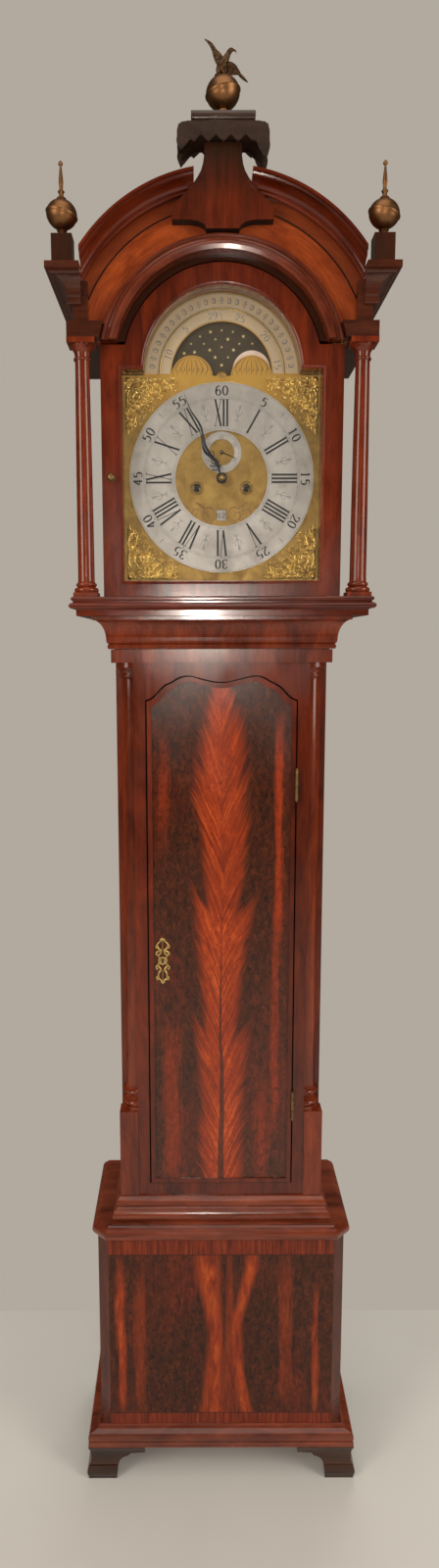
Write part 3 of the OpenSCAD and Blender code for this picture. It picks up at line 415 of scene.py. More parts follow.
wood_up = wood("mahogany_upright")
wood_across = wood("mahogany_across", "x")
band_across = wood("crossband_across", "z", (0.05, 0.007, 0.002), (0.15, 0.017, 0.004), (0.30, 0.045, 0.008),
                   figure=1.3)
orange = wood("orange_veneer", "arch", (0.17, 0.022, 0.005), (0.36, 0.055, 0.010), (0.52, 0.10, 0.018),
              CROWN_Z, 1.5, tint=arch_shades)
# Lighter copy of the mahogany for the base mouldings: painted highlight where the front light catches them
painted_highlight_moulding_wood = wood("moulding_mahogany_painted_highlight", "x", (0.060, 0.009, 0.003), (0.19, 0.028, 0.009),
                     (0.36, 0.075, 0.028))
# Lighter copy of the mahogany for the inner arch moulding: painted highlight where the front light catches it
painted_highlight_inner_arch_wood = wood("inner_arch_mahogany_painted_highlight", "arch", (0.050, 0.008, 0.003), (0.165, 0.026, 0.009),
                       (0.30, 0.062, 0.024), ARCH_Z)
# Darker copy of the mahogany for the hood's friezes and side cornices: painted shade
painted_shade_corner_wood = wood("corner_mahogany_painted_shade", "x", (0.020, 0.005, 0.002), (0.058, 0.012, 0.005), (0.13, 0.030, 0.012))
column_wood = wood("column_mahogany", "z", (0.050, 0.006, 0.002), (0.165, 0.019, 0.004), (0.33, 0.050, 0.009))
canted_wood = wood("canted_mahogany", "z", (0.030, 0.005, 0.002), (0.095, 0.013, 0.004), (0.20, 0.032, 0.008),
                   coat=0.0)
canted_wood.node_tree.nodes["Principled BSDF"].inputs["Specular IOR Level"].default_value = 0.3
cap_wood = wood("cap_mahogany", "x", (0.014, 0.008, 0.006), (0.045, 0.024, 0.016), (0.085, 0.045, 0.030))
dark_carving = wood("dark_carving", "x", (0.010, 0.005, 0.003), (0.034, 0.015, 0.007), (0.065, 0.028, 0.012),
                    gloss=False)
foot_wood = wood("foot_mahogany", "x", (0.012, 0.005, 0.003), (0.040, 0.014, 0.006), (0.085, 0.026, 0.010))
ebony = wood("dark_stringing", "x", (0.012, 0.006, 0.004), (0.02, 0.008, 0.005), (0.035, 0.012, 0.006))
shadow_wood = wood("shadow_mahogany", "z", (0.010, 0.004, 0.002), (0.022, 0.006, 0.003), (0.04, 0.010, 0.004),
                   gloss=False)
rough_wood = wood("carcase_wood", "z", (0.12, 0.06, 0.03), (0.26, 0.14, 0.07), (0.42, 0.26, 0.14),
                  gloss=False)
door_flame = flame(
    "door_flame",
    ((0.0, 0.44), (0.10, 0.46), (0.215, 0.56), (0.235, 0.32), (0.34, 0.46), (0.462, 0.60),
     (0.485, 0.32), (0.56, 0.44), (0.653, 0.54), (0.79, 0.40), (0.90, 0.24), (1.0, 0.12)),
    ((0.0, 0.62), (0.15, 0.46), (0.30, 0.26), (0.42, 0.12), (0.7, 0.07), (1.0, 0.03)),
    low("trunk_door").z * MM, high("trunk_door").z * MM, (0.72, 0.120, 0.014), (0.38, 0.040, 0.006),
)
brass = metal("lacquered_brass", (0.80, 0.56, 0.20), (0.30, 0.17, 0.06))
dial_brass = metal("matted_brass", (0.54, 0.35, 0.105), (0.32, 0.19, 0.06), 0.42, 40.0, 0.8, 0.5, arch_brass)
gilt = metal("gilt_casting", (1.0, 0.72, 0.22), (0.60, 0.33, 0.06), 0.22, 180.0, 0.5, 0.2)
silvered = metal("silvered_ring", (0.70, 0.665, 0.62), (0.50, 0.46, 0.42), 0.48, 30.0, 0.7, 0.08, arch_silver)
bronze = metal("bronze_patina", (0.33, 0.155, 0.064), (0.17, 0.080, 0.036), 0.34, 9.0, 0.5, 0.02)
eagle_bronze = metal("eagle_bronze", (0.17, 0.09, 0.045), (0.035, 0.020, 0.012), 0.40, 160.0, 0.9, 0.4)
old_brass = metal("old_brass", (0.34, 0.22, 0.09), (0.10, 0.06, 0.03), 0.34, 90.0, 0.9, 0.3)
blued = metal("blued_steel", (0.050, 0.050, 0.060), (0.025, 0.022, 0.022), 0.30)
ink = paint("black_wax", (0.016, 0.016, 0.020), (0.03, 0.03, 0.032), 0.6)
grey_ink = paint("worn_wax", (0.19, 0.19, 0.20), (0.34, 0.33, 0.32))
brown_ink = paint("engraved_line", (0.22, 0.10, 0.04), (0.34, 0.18, 0.08))
night = paint("night_paint", (0.055, 0.037, 0.017), (0.085, 0.062, 0.030), 0.6)
moonlight = paint("moon_paint", (0.82, 0.68, 0.58), (0.72, 0.42, 0.34), 0.45, 300.0)
star_gold = paint("star_gold", (0.86, 0.70, 0.30), (0.70, 0.50, 0.18), 0.4, 500.0, 0.4)
gut = paint("twisted_gut", (0.62, 0.44, 0.22), (0.40, 0.26, 0.12), 0.45, 700.0)

LOOKS = {
    "mahogany": wood_up, "figured_mahogany": wood_up, "orange_veneer": orange, "carcase_wood": rough_wood,
    "lacquered_brass": brass, "gilt_brass": gilt, "silvered_brass": silvered, "bronzed_brass": bronze,
    "painted_disc": night, "blued_steel": blued, "gut": gut, "glass": pane("old_glass"),
    "bright_steel": metal("bright_steel", (0.62, 0.62, 0.64), (0.30, 0.29, 0.28), 0.26),
    "bell_metal": metal("bell_metal", (0.74, 0.64, 0.40), (0.42, 0.32, 0.16), 0.24, 50.0),
}
SPECIAL = {
    "trunk_door": door_flame, "base_panels": hourglass("base_flame", 0.103, 0.482), "dial_plate": dial_brass,
    "base_mouldings": painted_highlight_moulding_wood, "bracket_feet": foot_wood, "throat_moulding": band_across,
    "hood_base_moulding": wood_across, "hood_friezes": painted_shade_corner_wood, "side_cornices": painted_shade_corner_wood,
    "arched_cornice": wood("mahogany_crown", "arch", centre=CROWN_Z), "inner_arch_moulding": painted_highlight_inner_arch_wood,
    "finial_plinths": wood("crest_mahogany", tint=crest_shades), "hood_roof": wood("mahogany_deep", "y"),
    "hinge_door_leaves": old_brass, "hinge_frame_leaves": old_brass, "hood_door_pivots": old_brass,
    "hood_door_knob": old_brass, "seatboard": rough_wood, "canted_corners": canted_wood,
    "quarter_columns": column_wood, "hood_columns": column_wood,
}
for row in frame["record"]["subparts"]:
    node, slot = row["node"], row["material_slot"]
    part = NODES[node]
    part.data.materials.clear()
    part.data.materials.append(SPECIAL.get(node, LOOKS[slot]))

# ---------------------------------------------------------------- shared mesh helpers


def to_object(name, verts, faces, material, body, smooth=35.0):
    """A mesh in millimetres made into a piece that rides on a body, if one is named."""
    mesh = bpy.data.meshes.new(name)
    mesh.from_pydata([tuple(c * MM for c in v) for v in verts], [], faces)
    work = bmesh.new()
    work.from_mesh(mesh)
    bmesh.ops.recalc_face_normals(work, faces=work.faces)
    work.to_mesh(mesh)
    work.free()
    piece = bpy.data.objects.new(name, mesh)
    bpy.context.scene.collection.objects.link(piece)
    mesh.materials.append(material)
    if smooth:
        mesh.shade_smooth()
        mesh.set_sharp_from_angle(angle=math.radians(smooth))
    if body:
        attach(piece, body)
    return piece


def tube_faces(start, count, sides, whole=False):
    """Faces between rings of corners; unless the rings close up, both ends are capped."""
    faces = []
    for i in range(count if whole else count - 1):
        a, b = start + i * sides, start + (i + 1) % count * sides
        for k in range(sides):
            m = (k + 1) % sides
            faces.append((a + k, a + m, b + m, b + k))
    if not whole:
        faces += [tuple(range(end, end + sides)) for end in (start, start + (count - 1) * sides)]
    return faces


def bulge(least, more):
    """A width that swells in the middle of a line."""
    return lambda t: least + more * math.sin(math.pi * t)


def taper(first, loss):
    """A width that shrinks evenly along a line."""
    return lambda t: first - loss * t


def on_circle(centre, radius, a):
    """The point of a circle at a clockwise angle in radians."""
    return centre[0] + radius * math.sin(a), centre[1] + radius * math.cos(a)


def curve_points(points, steps=6, closed=False):
    """Points along a smooth line through the given points."""
    count = len(points)
    if count < 3:
        return [tuple(p) for p in points]
    out = []
    spans = count if closed else count - 1
    for i in range(spans):
        if closed:
            p = [points[(i + k) % count] for k in (-1, 0, 1, 2)]
        else:
            p = [points[min(max(i + k, 0), count - 1)] for k in (-1, 0, 1, 2)]
        for j in range(steps):
            t = j / steps
            out.append(tuple(
                0.5 * (2 * b + (c - a) * t + (2 * a - 5 * b + 4 * c - d) * t * t
                       + (3 * b - a - 3 * c + d) * t ** 3)
                for a, b, c, d in zip(*p)
            ))
    if not closed:
        out.append(tuple(points[-1]))
    return out


def turned(centre, angle, radius=0.0):
    """Where a mark at a clockwise angle and a distance from a centre puts its own (right, up)."""
    sin, cos = math.sin(math.radians(angle)), math.cos(math.radians(angle))
    return lambda u, v: (
        centre[0] + cos * u + sin * (radius + v),
        centre[1] - sin * u + cos * (radius + v),
    )


class Inlay:
    """Gathers strokes on a front-facing plane into one mesh of thin closed solids."""

    def __init__(self, front, thick=0.3):
        self.front, self.thick = front, thick
        self.verts, self.faces = [], []

    def strip(self, left, right, closed=False):
        start, count = len(self.verts), len(left)
        for (lu, lv), (ru, rv) in zip(left, right):
            for y in (self.front, self.front + self.thick):
                self.verts += [(lu, y, lv), (ru, y, rv)]
        for i in range(count if closed else count - 1):
            a, b = start + 4 * i, start + 4 * ((i + 1) % count)
            self.faces += [
                (a, a + 1, b + 1, b), (a + 2, b + 2, b + 3, a + 3),
                (a, b, b + 2, a + 2), (a + 1, a + 3, b + 3, b + 1),
            ]
        if not closed:
            e = start + 4 * (count - 1)
            self.faces += [(start, start + 2, start + 3, start + 1), (e, e + 1, e + 3, e + 2)]

    def stroke(self, points, width, place=lambda u, v: (u, v), closed=False, contrast=0.0):
        """A line as wide as width, or as width(share along it). Contrast thins what runs level."""
        left, right = [], []
        count = len(points)
        for i, (u, v) in enumerate(points):
            if closed:
                before, after = points[i - 1], points[(i + 1) % count]
            else:
                before, after = points[max(i - 1, 0)], points[min(i + 1, count - 1)]
            du, dv = after[0] - before[0], after[1] - before[1]
            size = math.hypot(du, dv) or 1.0
            du, dv = du / size, dv / size
            half = (width(i / max(count - 1, 1)) if callable(width) else width) / 2
            half *= 1 - contrast * (1 - abs(dv) ** 1.3)
            left.append(place(u - dv * half, v + du * half))
            right.append(place(u + dv * half, v - du * half))
        self.strip(left, right, closed)

    def circle(self, centre, radius, width, a0=0.0, a1=360.0, steps=120):
        whole = a1 - a0 >= 360.0
        count = steps if whole else steps + 1
        line = [on_circle(centre, radius, math.radians(a0 + (a1 - a0) * i / steps)) for i in range(count)]
        self.stroke(line, width, closed=whole)

    def disc(self, centre, radius, steps=24):
        self.polygon([on_circle(centre, radius, 2 * math.pi * i / steps) for i in range(steps)])

    def polygon(self, points):
        start, count = len(self.verts), len(points)
        for y in (self.front, self.front + self.thick):
            self.verts += [(u, y, v) for u, v in points]
        middle, end = start + count, start + 2 * count
        self.faces += [tuple(range(start, middle)), tuple(range(end - 1, middle - 1, -1))]
        for i in range(count):
            j = (i + 1) % count
            self.faces.append((start + i, start + j, start + count + j, start + count + i))

    def piece(self, name, material, body, slot=None):
        return to_object(name, self.verts, self.faces, material, body, 0)


def lathe(name, profile, base, material, body, axis="z", steps=64, tilt=0.0):
    """A turned piece: profile is (radius, along the axis) from a base point. Its ends close on the axis."""
    verts, faces, rings = [], [], []
    for r, h in profile:
        if r < 1e-6:
            rings.append([len(verts)])
            verts.append((0.0, 0.0, h))
        else:
            rings.append(list(range(len(verts), len(verts) + steps)))
            angles = [2 * math.pi * k / steps for k in range(steps)]
            verts += [(r * math.cos(a), r * math.sin(a), h) for a in angles]
    for a, b in zip(rings, rings[1:]):
        for k in range(steps):
            m = (k + 1) % steps
            face = tuple(dict.fromkeys((a[k % len(a)], a[m % len(a)], b[m % len(b)], b[k % len(b)])))
            if len(face) > 2:
                faces.append(face)
    for ring in (rings[0], rings[-1]):
        if len(ring) > 1:
            faces.append(tuple(ring))
    turn = {"z": Matrix.Identity(3), "y": Matrix.Rotation(math.radians(-90), 3, "X")}[axis]
    turn = Matrix.Rotation(math.radians(tilt), 3, "Y") @ turn
    verts = [tuple(turn @ Vector(v) + Vector(base)) for v in verts]
    return to_object(name, verts, faces, material, body)


# ---------------------------------------------------------------- dial

DIAL = pivot("minute_hand_turn")
DIAL_AT = (DIAL.x, DIAL.z)
SECONDS = pivot("seconds_hand_turn")
MOON = pivot("moon_disc_turn")
MOON_AT = (MOON.x, MOON.z)
RING_FRONT = low("dial_rings").y
PLATE_FRONT = low("date_ring").y - 5.0

GLYPHS = {
    "1": [[(0.31, 0.0), (0.31, 1.0)], [(0.12, 0.0), (0.50, 0.0)], [(0.31, 0.99), (0.15, 0.84)]],
    "2": [[(0.06, 0.74), (0.12, 0.92), (0.30, 1.0), (0.52, 0.90), (0.55, 0.68), (0.40, 0.42), (0.18, 0.18),
           (0.05, 0.02)],
          [(0.04, 0.03), (0.60, 0.03), (0.60, 0.14)]],
    "3": [[(0.07, 0.82), (0.18, 0.96), (0.36, 1.0), (0.52, 0.88), (0.50, 0.66), (0.36, 0.55), (0.22, 0.53)],
          [(0.22, 0.53), (0.42, 0.51), (0.57, 0.36), (0.55, 0.15), (0.40, 0.02), (0.20, 0.0), (0.05, 0.12)]],
    "4": [[(0.42, 1.0), (0.42, 0.0)], [(0.42, 1.0), (0.03, 0.30)], [(0.03, 0.30), (0.62, 0.30)]],
    "5": [[(0.14, 0.98), (0.54, 0.98)], [(0.15, 0.98), (0.12, 0.56)],
          [(0.12, 0.56), (0.30, 0.64), (0.50, 0.56), (0.57, 0.34), (0.48, 0.10), (0.28, 0.0), (0.07, 0.07)]],
    "6": [[(0.52, 0.92), (0.36, 1.0), (0.17, 0.84), (0.07, 0.52), (0.09, 0.20), (0.24, 0.01), (0.42, 0.02),
           (0.56, 0.16), (0.56, 0.38), (0.44, 0.55), (0.26, 0.55), (0.11, 0.40)]],
    "7": [[(0.05, 0.84), (0.08, 0.97), (0.60, 0.97)], [(0.59, 0.97), (0.30, 0.45), (0.24, 0.0)]],
    "8": [[(0.30, 0.54), (0.50, 0.66), (0.50, 0.90), (0.30, 1.0), (0.11, 0.90), (0.11, 0.68), (0.30, 0.54),
           (0.54, 0.40), (0.56, 0.12), (0.32, 0.0), (0.07, 0.10), (0.07, 0.38), (0.30, 0.54)]],
    "0": [[(0.31 + 0.26 * math.sin(a * math.pi / 12), 0.5 + 0.5 * math.cos(a * math.pi / 12))
           for a in range(25)]],
}
GLYPH_W, DIGIT_W = 0.62, 0.80
GLYPHS["9"] = [[(GLYPH_W - u, 1.0 - v) for u, v in line] for line in GLYPHS["6"]]


def number(inlay, text, place, size, thick, flip=False):
    """Engraved digits of a given height, centred on their place."""
    sign = -1 if flip else 1
    start = -DIGIT_W * len(text) / 2 + (DIGIT_W - GLYPH_W) / 2
    for i, digit in enumerate(text):
        for line in GLYPHS[digit]:
            points = curve_points(line, 4) if len(line) > 3 else line
            spot = [(sign * size * (start + i * DIGIT_W + u), sign * size * (v - 0.5)) for u, v in points]
            inlay.stroke(spot, thick, place, contrast=0.62)


ROMAN_W = {"I": 6.0, "V": 12.5, "X": 12.5}


def roman(inlay, text, place, height):
    at = -sum(ROMAN_W[c] for c in text) / 2
    thick, thin, serif, lean = 3.1, 1.05, 0.85, 4.6
    for c in text:
        w = ROMAN_W[c]
        mid = at + w / 2
        if c == "I":
            inlay.stroke([(mid, 0.0), (mid, height)], thick, place)
            feet = [(mid, 0.0), (mid, height)]
        elif c == "V":
            inlay.stroke([(mid, 0.0), (mid - lean, height)], thick, place)
            inlay.stroke([(mid, 0.0), (mid + lean, height)], thin, place)
            feet = [(mid - lean, height), (mid + lean, height)]
        else:
            inlay.stroke([(mid + lean, 0.0), (mid - lean, height)], thick, place)
            inlay.stroke([(mid - lean, 0.0), (mid + lean, height)], thin, place)
            feet = [(mid + s * lean, v) for s in (-1, 1) for v in (0.0, height)]
        for u, v in feet:
            inlay.stroke([(u - 2.7, v), (u + 2.7, v)], serif, place)
        at += w


HOURS = ["XII", "I", "II", "III", "IIII", "V", "VI", "VII", "VIII", "IX", "X", "XI"]
NUMERAL_IN, NUMERAL_H = 84.0, 41.5
MINUTE_RING, MINUTE_TICKS, QUARTER_TICKS = 139.6, 127.2, 79.0
black = Inlay(RING_FRONT - 0.1)
grey = Inlay(RING_FRONT - 0.08)
for hour, text in enumerate(HOURS):
    roman(black, text, turned(DIAL_AT, 30 * hour, NUMERAL_IN), NUMERAL_H)
    minutes = "60" if hour == 0 else str(5 * hour)
    number(black, minutes, turned(DIAL_AT, 30 * hour, MINUTE_RING), 14.6, 2.6)
    spot = turned(DIAL_AT, 30 * hour + 15, 105.0)
    grey.stroke([(0.0, -12.0), (0.0, 9.0)], 0.8, spot)
    grey.stroke([(0.0, 8.0), (1.5, 11.0), (0.0, 15.0)], 1.1, spot)
    grey.stroke([(0.0, 8.0), (-1.5, 11.0), (0.0, 15.0)], 1.1, spot)
    for side in (-1, 1):
        curl = [(0.0, -4.0), (2.5 * side, -1.0), (5.5 * side, 2.0), (5.0 * side, 6.0), (2.6 * side, 6.4)]
        grey.stroke(curve_points(curl, 5), taper(1.0, 0.6), spot)
        low_curl = [(0.0, -8.0), (3.0 * side, -9.5), (4.2 * side, -12.0)]
        grey.stroke(curve_points(low_curl, 4), 0.7, spot)
for minute in range(60):
    spot = turned(DIAL_AT, 6 * minute, MINUTE_TICKS)
    grey.stroke([(0.0, 0.0), (0.0, 2.8)], 0.55 if minute % 5 else 1.3, spot)
for quarter in range(48):
    grey.stroke([(0.0, 0.0), (0.0, 2.4)], 0.45, turned(DIAL_AT, 7.5 * quarter, QUARTER_TICKS))
for diagonal in (45, 135, 225, 315):
    black.stroke([(0.0, -4.5), (0.0, 4.5)], bulge(0.7, 0.9), turned(DIAL_AT, diagonal, 142.5))
for radius, width in ((QUARTER_TICKS, 0.35), (81.4, 0.35), (MINUTE_TICKS, 0.4), (130.0, 0.4), (151.0, 0.4)):
    grey.circle(DIAL_AT, radius, width, steps=180)
seconds_at = (SECONDS.x, SECONDS.z)
for second in range(60):
    grey.stroke([(0.0, 0.0), (0.0, 2.4 if second % 5 else 3.4)], 0.35, turned(seconds_at, 6 * second, 28.6))
for ten in range(1, 7):
    number(grey, str(10 * ten), turned(seconds_at, 60 * ten, 24.9), 4.6, 0.75)
for radius in (28.6, 32.0, 21.8):
    grey.circle(seconds_at, radius, 0.35)

ARC_FRONT = PLATE_FRONT - 1.4
arc_marks = Inlay(ARC_FRONT - 0.08)
DAYS = {"10": -70, "5": -40, "29": -9, "25": 19, "20": 50, "15": 80}
for text, angle in DAYS.items():
    number(arc_marks, text, turned(MOON_AT, angle, 92.5), 10.5, 1.5)
number(arc_marks, "1", turned(MOON_AT, -2.2, 95.2), 4.4, 0.7)
number(arc_marks, "2", turned(MOON_AT, -0.4, 89.2), 4.4, 0.7)
arc_marks.stroke([(-2.2, -1.0), (2.2, 1.6)], 0.45, turned(MOON_AT, -1.3, 92.2))
for step in range(-13, 14):
    spot = turned(MOON_AT, step * 6.4, 114.6)
    if step % 3:
        for side in (-1, 1):
            wave = [(-3.4, 0.0), (-1.8, 3.8 * side), (1.6, 2.8 * side), (1.0, -0.2), (3.4, 0.0)]
            arc_marks.stroke(curve_points(wave, 4), bulge(0.5, 0.9), spot)
    else:
        for side in (-1, 1):
            arc_marks.stroke([(0.0, -5.5), (2.6 * side, 0.0), (0.0, 5.5)], 0.9, spot)
        arc_marks.disc(spot(0.0, 0.0), 1.0, 10)
for radius in (84.9, 100.2, 105.4, 124.8):
    arc_marks.circle(MOON_AT, radius, 0.4, -88.5, 88.5, 100)

black.piece("dial_numerals", ink, "case")
grey.piece("dial_divisions", grey_ink, "case")
arc_marks.piece("arch_numerals", grey_ink, "case")


def hoop(name, centre, radius, thick, front, material, a0=0, a1=360, steps=96):
    """A round bead on the case, bent to a circle or part of one."""
    verts, sides = [], 12
    whole = a1 - a0 >= 360.0
    count = steps if whole else steps + 1
    for i in range(count):
        a = math.radians(a0 + (a1 - a0) * i / steps)
        for k in range(sides):
            b = 2 * math.pi * k / sides
            u, v = on_circle(centre, radius + thick * math.cos(b), a)
            verts.append((u, front + thick * math.sin(b), v))
    return to_object(name, verts, tube_faces(0, count, sides, whole), material, "case")


hoop("arch_bead", MOON_AT, 102.5, 1.5, PLATE_FRONT - 1.0, brass, -90, 90)
hoop("chapter_rim", DIAL_AT, 153.4, 0.5, RING_FRONT + 0.4, brass, steps=160)
for side, barrel in (("left", "strike_barrel_turn"), ("right", "going_barrel_turn")):
    hole = pivot(barrel)
    for k, radius in enumerate((7.0, 9.2, 11.0)):
        thick = 0.7 - 0.15 * k
        hoop(f"winding_ring_{side}_{k}", (hole.x, hole.z), radius, thick, PLATE_FRONT, old_brass, steps=48)


def scroll_width(t):
    return 0.5 + 1.1 * math.sin(math.pi * min(1.0, t * 1.1)) ** 1.5


# Engraving on the matted centre: scrolls round the date opening, and lines on the two humps
engraved = Inlay(PLATE_FRONT - 0.06)
date_at = (DIAL.x, DIAL.z - 59.0)
window = [(-8.8, -9.8), (8.8, -9.8), (8.8, 9.8), (-8.8, 9.8)]
engraved.stroke(window, 0.9, lambda u, v: (date_at[0] + u, date_at[1] + v), closed=True)
for side in (-1, 1):
    def scroll_at(u, v, side=side):
        return date_at[0] + side * u, date_at[1] + v
    scrolls = [
        [(11, -5), (18, -9), (27, -8), (32, -2), (29, 4), (23, 4), (22, -1), (26, -2)],
        [(31, 1), (37, 8), (46, 9), (50, 3), (47, -2), (42, -1), (42, 4)],
        [(11, 4), (15, 10), (22, 13), (29, 11), (31, 14), (27, 18)],
        [(36, 9), (35, 15), (40, 19), (46, 17)],
        [(14, -11), (22, -13), (32, -12), (39, -8), (44, -7)],
        [(50, 6), (55, 12), (60, 13), (62, 18)],
    ]
    for line in scrolls:
        engraved.stroke(curve_points(line), scroll_width, scroll_at)
        for share in (0.3, 0.6):
            u, v = line[int(share * len(line))]
            sprig = curve_points([(u, v), (u + 2.5, v + 2.2), (u + 3.4, v + 5.0)], 4)
            engraved.stroke(sprig, lambda t: 1.3 * (1 - t) + 0.2, scroll_at)
    hump = (MOON.x + side * 49.0, MOON.z - 3.0)

    def hump_at(u, v, hump=hump):
        return hump[0] + u, hump[1] + v
    engraved.circle(hump, 31.5, 0.6, -86, 86, 60)
    for k in range(-3, 4):
        bend = k * 8.4
        line = [(bend * 0.9, 3.0), (bend * 1.02, 12.0), (bend * 0.92, 20.0), (bend * 0.55, 29.0)]
        engraved.stroke(curve_points(line, 5), bulge(0.4, 0.8), hump_at)
        leaf = [(bend * 0.9, 8.0), (bend * 0.9 + 3.5, 11.0), (bend * 0.9 + 3.0, 15.5)]
        engraved.stroke(curve_points(leaf, 4), bulge(0.3, 0.9), hump_at)
engraved.piece("dial_engraving", brown_ink, "case")

lathe("moon_boss", [(0, -15.5), (1.6, -15.0), (2.6, -13.4), (2.0, -11.6), (3.4, -10.4), (5.6, -8.6),
                    (5.2, -6.4), (4.2, -5.2), (4.2, -2.0), (0, -2.0)],
      (MOON.x, PLATE_FRONT + 3.0, MOON.z), brass, "case", "y")

# ---------------------------------------------------------------- moon disc and date ring


def star(inlay, centre, size, points=5, turn=0.0):
    reaches = (size, size * 0.42)
    inlay.polygon([on_circle(centre, reaches[k % 2], math.pi * k / points + turn) for k in range(2 * points)])


def ring_disc(name, profile, y, centre, material, body, steps=128):
    """A flat ring turned about the y axis, closed through its bore."""
    verts = []
    for k in range(steps):
        for r, h in profile:
            u, v = on_circle(centre, r, 2 * math.pi * k / steps)
            verts.append((u, y + h, v))
    return to_object(name, verts, tube_faces(0, steps, len(profile), True), material, body)


disc_front = PLATE_FRONT + 5.0
disc_profile = [(4.05, 1.5), (4.05, 0.0), (84.0, 0.0), (86.0, 0.3), (86.0, 1.5)]
night_disc = ring_disc("moon_disc_plate", disc_profile, disc_front, MOON_AT, night, "moon_disc")
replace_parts(night_disc, "moon_disc")
stars = Inlay(disc_front - 0.12)
MOON_TILT = 10.0
MOON_OFF = 50.0
tilt = math.radians(MOON_TILT)
moons = [
    (MOON.x + side * MOON_OFF * math.cos(tilt), MOON.z + side * MOON_OFF * math.sin(tilt)) for side in (-1, 1)
]
for ring, (radius, count) in enumerate(((17, 5), (31, 9), (45, 14), (58, 18), (71, 24))):
    for k in range(count):
        a = 2 * math.pi * (k + 0.5 * (ring % 2)) / count
        spot = on_circle(MOON_AT, radius, a)
        if all(math.dist(spot, m) > 36.0 for m in moons):
            star(stars, spot, 3.3 if (k + ring) % 3 == 0 else 2.2, 5 + (k % 2), 0.6 * k)
stars.piece("moon_disc_stars", star_gold, "moon_disc")
for name, quarter, spot in zip(("left", "right"), (-90.0, 90.0), moons):
    dome = [(0, -0.4), (12, -0.38), (24, -0.3), (30.6, -0.15), (31.5, 0.1), (0, 0.1)]
    lathe(f"moon_{name}", dome, (spot[0], disc_front, spot[1]), moonlight, "moon_disc", "y", 72)
    face = Inlay(disc_front - 0.5, 0.2)
    turn = turned(spot, quarter - MOON_TILT)
    for eye in (-1, 1):
        face.stroke(curve_points([(eye * 4, 5), (eye * 7.5, 6.4), (eye * 11, 5)], 5), bulge(0.3, 1.0), turn)
        face.stroke(curve_points([(eye * 3.6, 9.5), (eye * 8, 11.4), (eye * 12, 9)], 5), 0.6, turn)
        face.disc(turn(eye * 7.5, 4.6), 1.1, 12)
    face.stroke(curve_points([(1.2, 6), (2.2, -1), (0.4, -3.2), (-1.6, -2.4)], 5), 0.5, turn)
    face.stroke(curve_points([(-5, -9), (-2, -9.8), (0, -9.2), (2, -9.8), (5, -9)], 5), bulge(0.3, 1.0), turn)
    face.stroke(curve_points([(-2.5, -12.2), (0, -12.8), (2.5, -12.2)], 5), 0.5, turn)
    face.piece(f"moon_face_{name}", brown_ink, "moon_disc", slot="painted_disc")

date_marks = Inlay(low("date_ring").y - 0.08, 0.25)
for day in range(1, 32):
    number(date_marks, str(day), turned(DIAL_AT, 180 + (day - 12) * 360 / 31, 59.0), 8.0, 1.1, flip=True)
date_marks.piece("date_numbers", ink, "date_ring")

# ---------------------------------------------------------------- hands


def hand(node, body, at, angle, length, half, sway, waves, thick, hub, bore, cross=0.0):
    """A bevelled serpentine hand of blued steel, with scrolls that reach a cross distance to each side."""
    name, front = f"{node}_blade", low(node).y
    place = turned(at, angle)
    steps, verts = 60, []
    bevel, back = front + thick * 0.45, front + thick
    start = hub * 0.8 / length
    for i in range(steps + 1):
        t = start + (1 - start) * i / steps
        u = sway * math.sin(2 * math.pi * waves * t) * math.sin(math.pi * t)
        w = half * (0.35 + 0.65 * math.sin(math.pi * min(1.0, 1.12 * t)) ** 0.8) * (1 - t ** 5) + 0.25
        for across, y in ((-w, bevel), (0.0, front), (w, bevel), (w, back), (-w, back)):
            x, z = place(u + across, length * t)
            verts.append((x, y, z))
    made = to_object(name, verts, tube_faces(0, steps + 1, 5), blued, body, 20.0)
    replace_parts(made, node)
    profile = [(bore, thick), (bore, 0.2), (bore + 0.4, -0.2), (hub - 1.0, -0.2), (hub, 0.4), (hub, thick)]
    ring_disc(name + "_hub", profile, front, at, blued, body, 48)
    if cross:
        wings = Inlay(front + 0.1, thick - 0.2)
        for side in (-1, 1):
            for reach in (0.16, 0.24):
                line = [(0.0, length * reach), (side * cross * 0.7, length * reach + 3),
                        (side * cross, length * (reach + 0.05)),
                        (side * cross * 0.5, length * (reach + 0.075))]
                wings.stroke(curve_points(line, 6), taper(1.9, 1.2), place)
        wings.piece(name + "_scrolls", blued, body)


hand("minute_hand", "centre_arbor", DIAL_AT, -25.0, 146.0, 1.7, 3.0, 2.0, 1.4, 7.0, 3.5, 5.0)
hand("hour_hand", "hour_wheel", DIAL_AT, -27.0, 88.0, 2.1, 6.0, 1.2, 1.4, 9.0, 5.0, 8.0)
hand("seconds_hand", "escape_arbor", seconds_at, 113.0, 27.0, 0.6, 0.0, 1.0, 0.8, 3.0, 1.4)
lathe("minute_collet", [(0, -4.2), (2.2, -4.0), (3.6, -2.6), (5.2, -0.8), (5.6, -0.1), (0, -0.1)],
      (DIAL.x, low("minute_hand").y, DIAL.z), brass, "centre_arbor", "y", 40)

# ---------------------------------------------------------------- carved and cast pieces


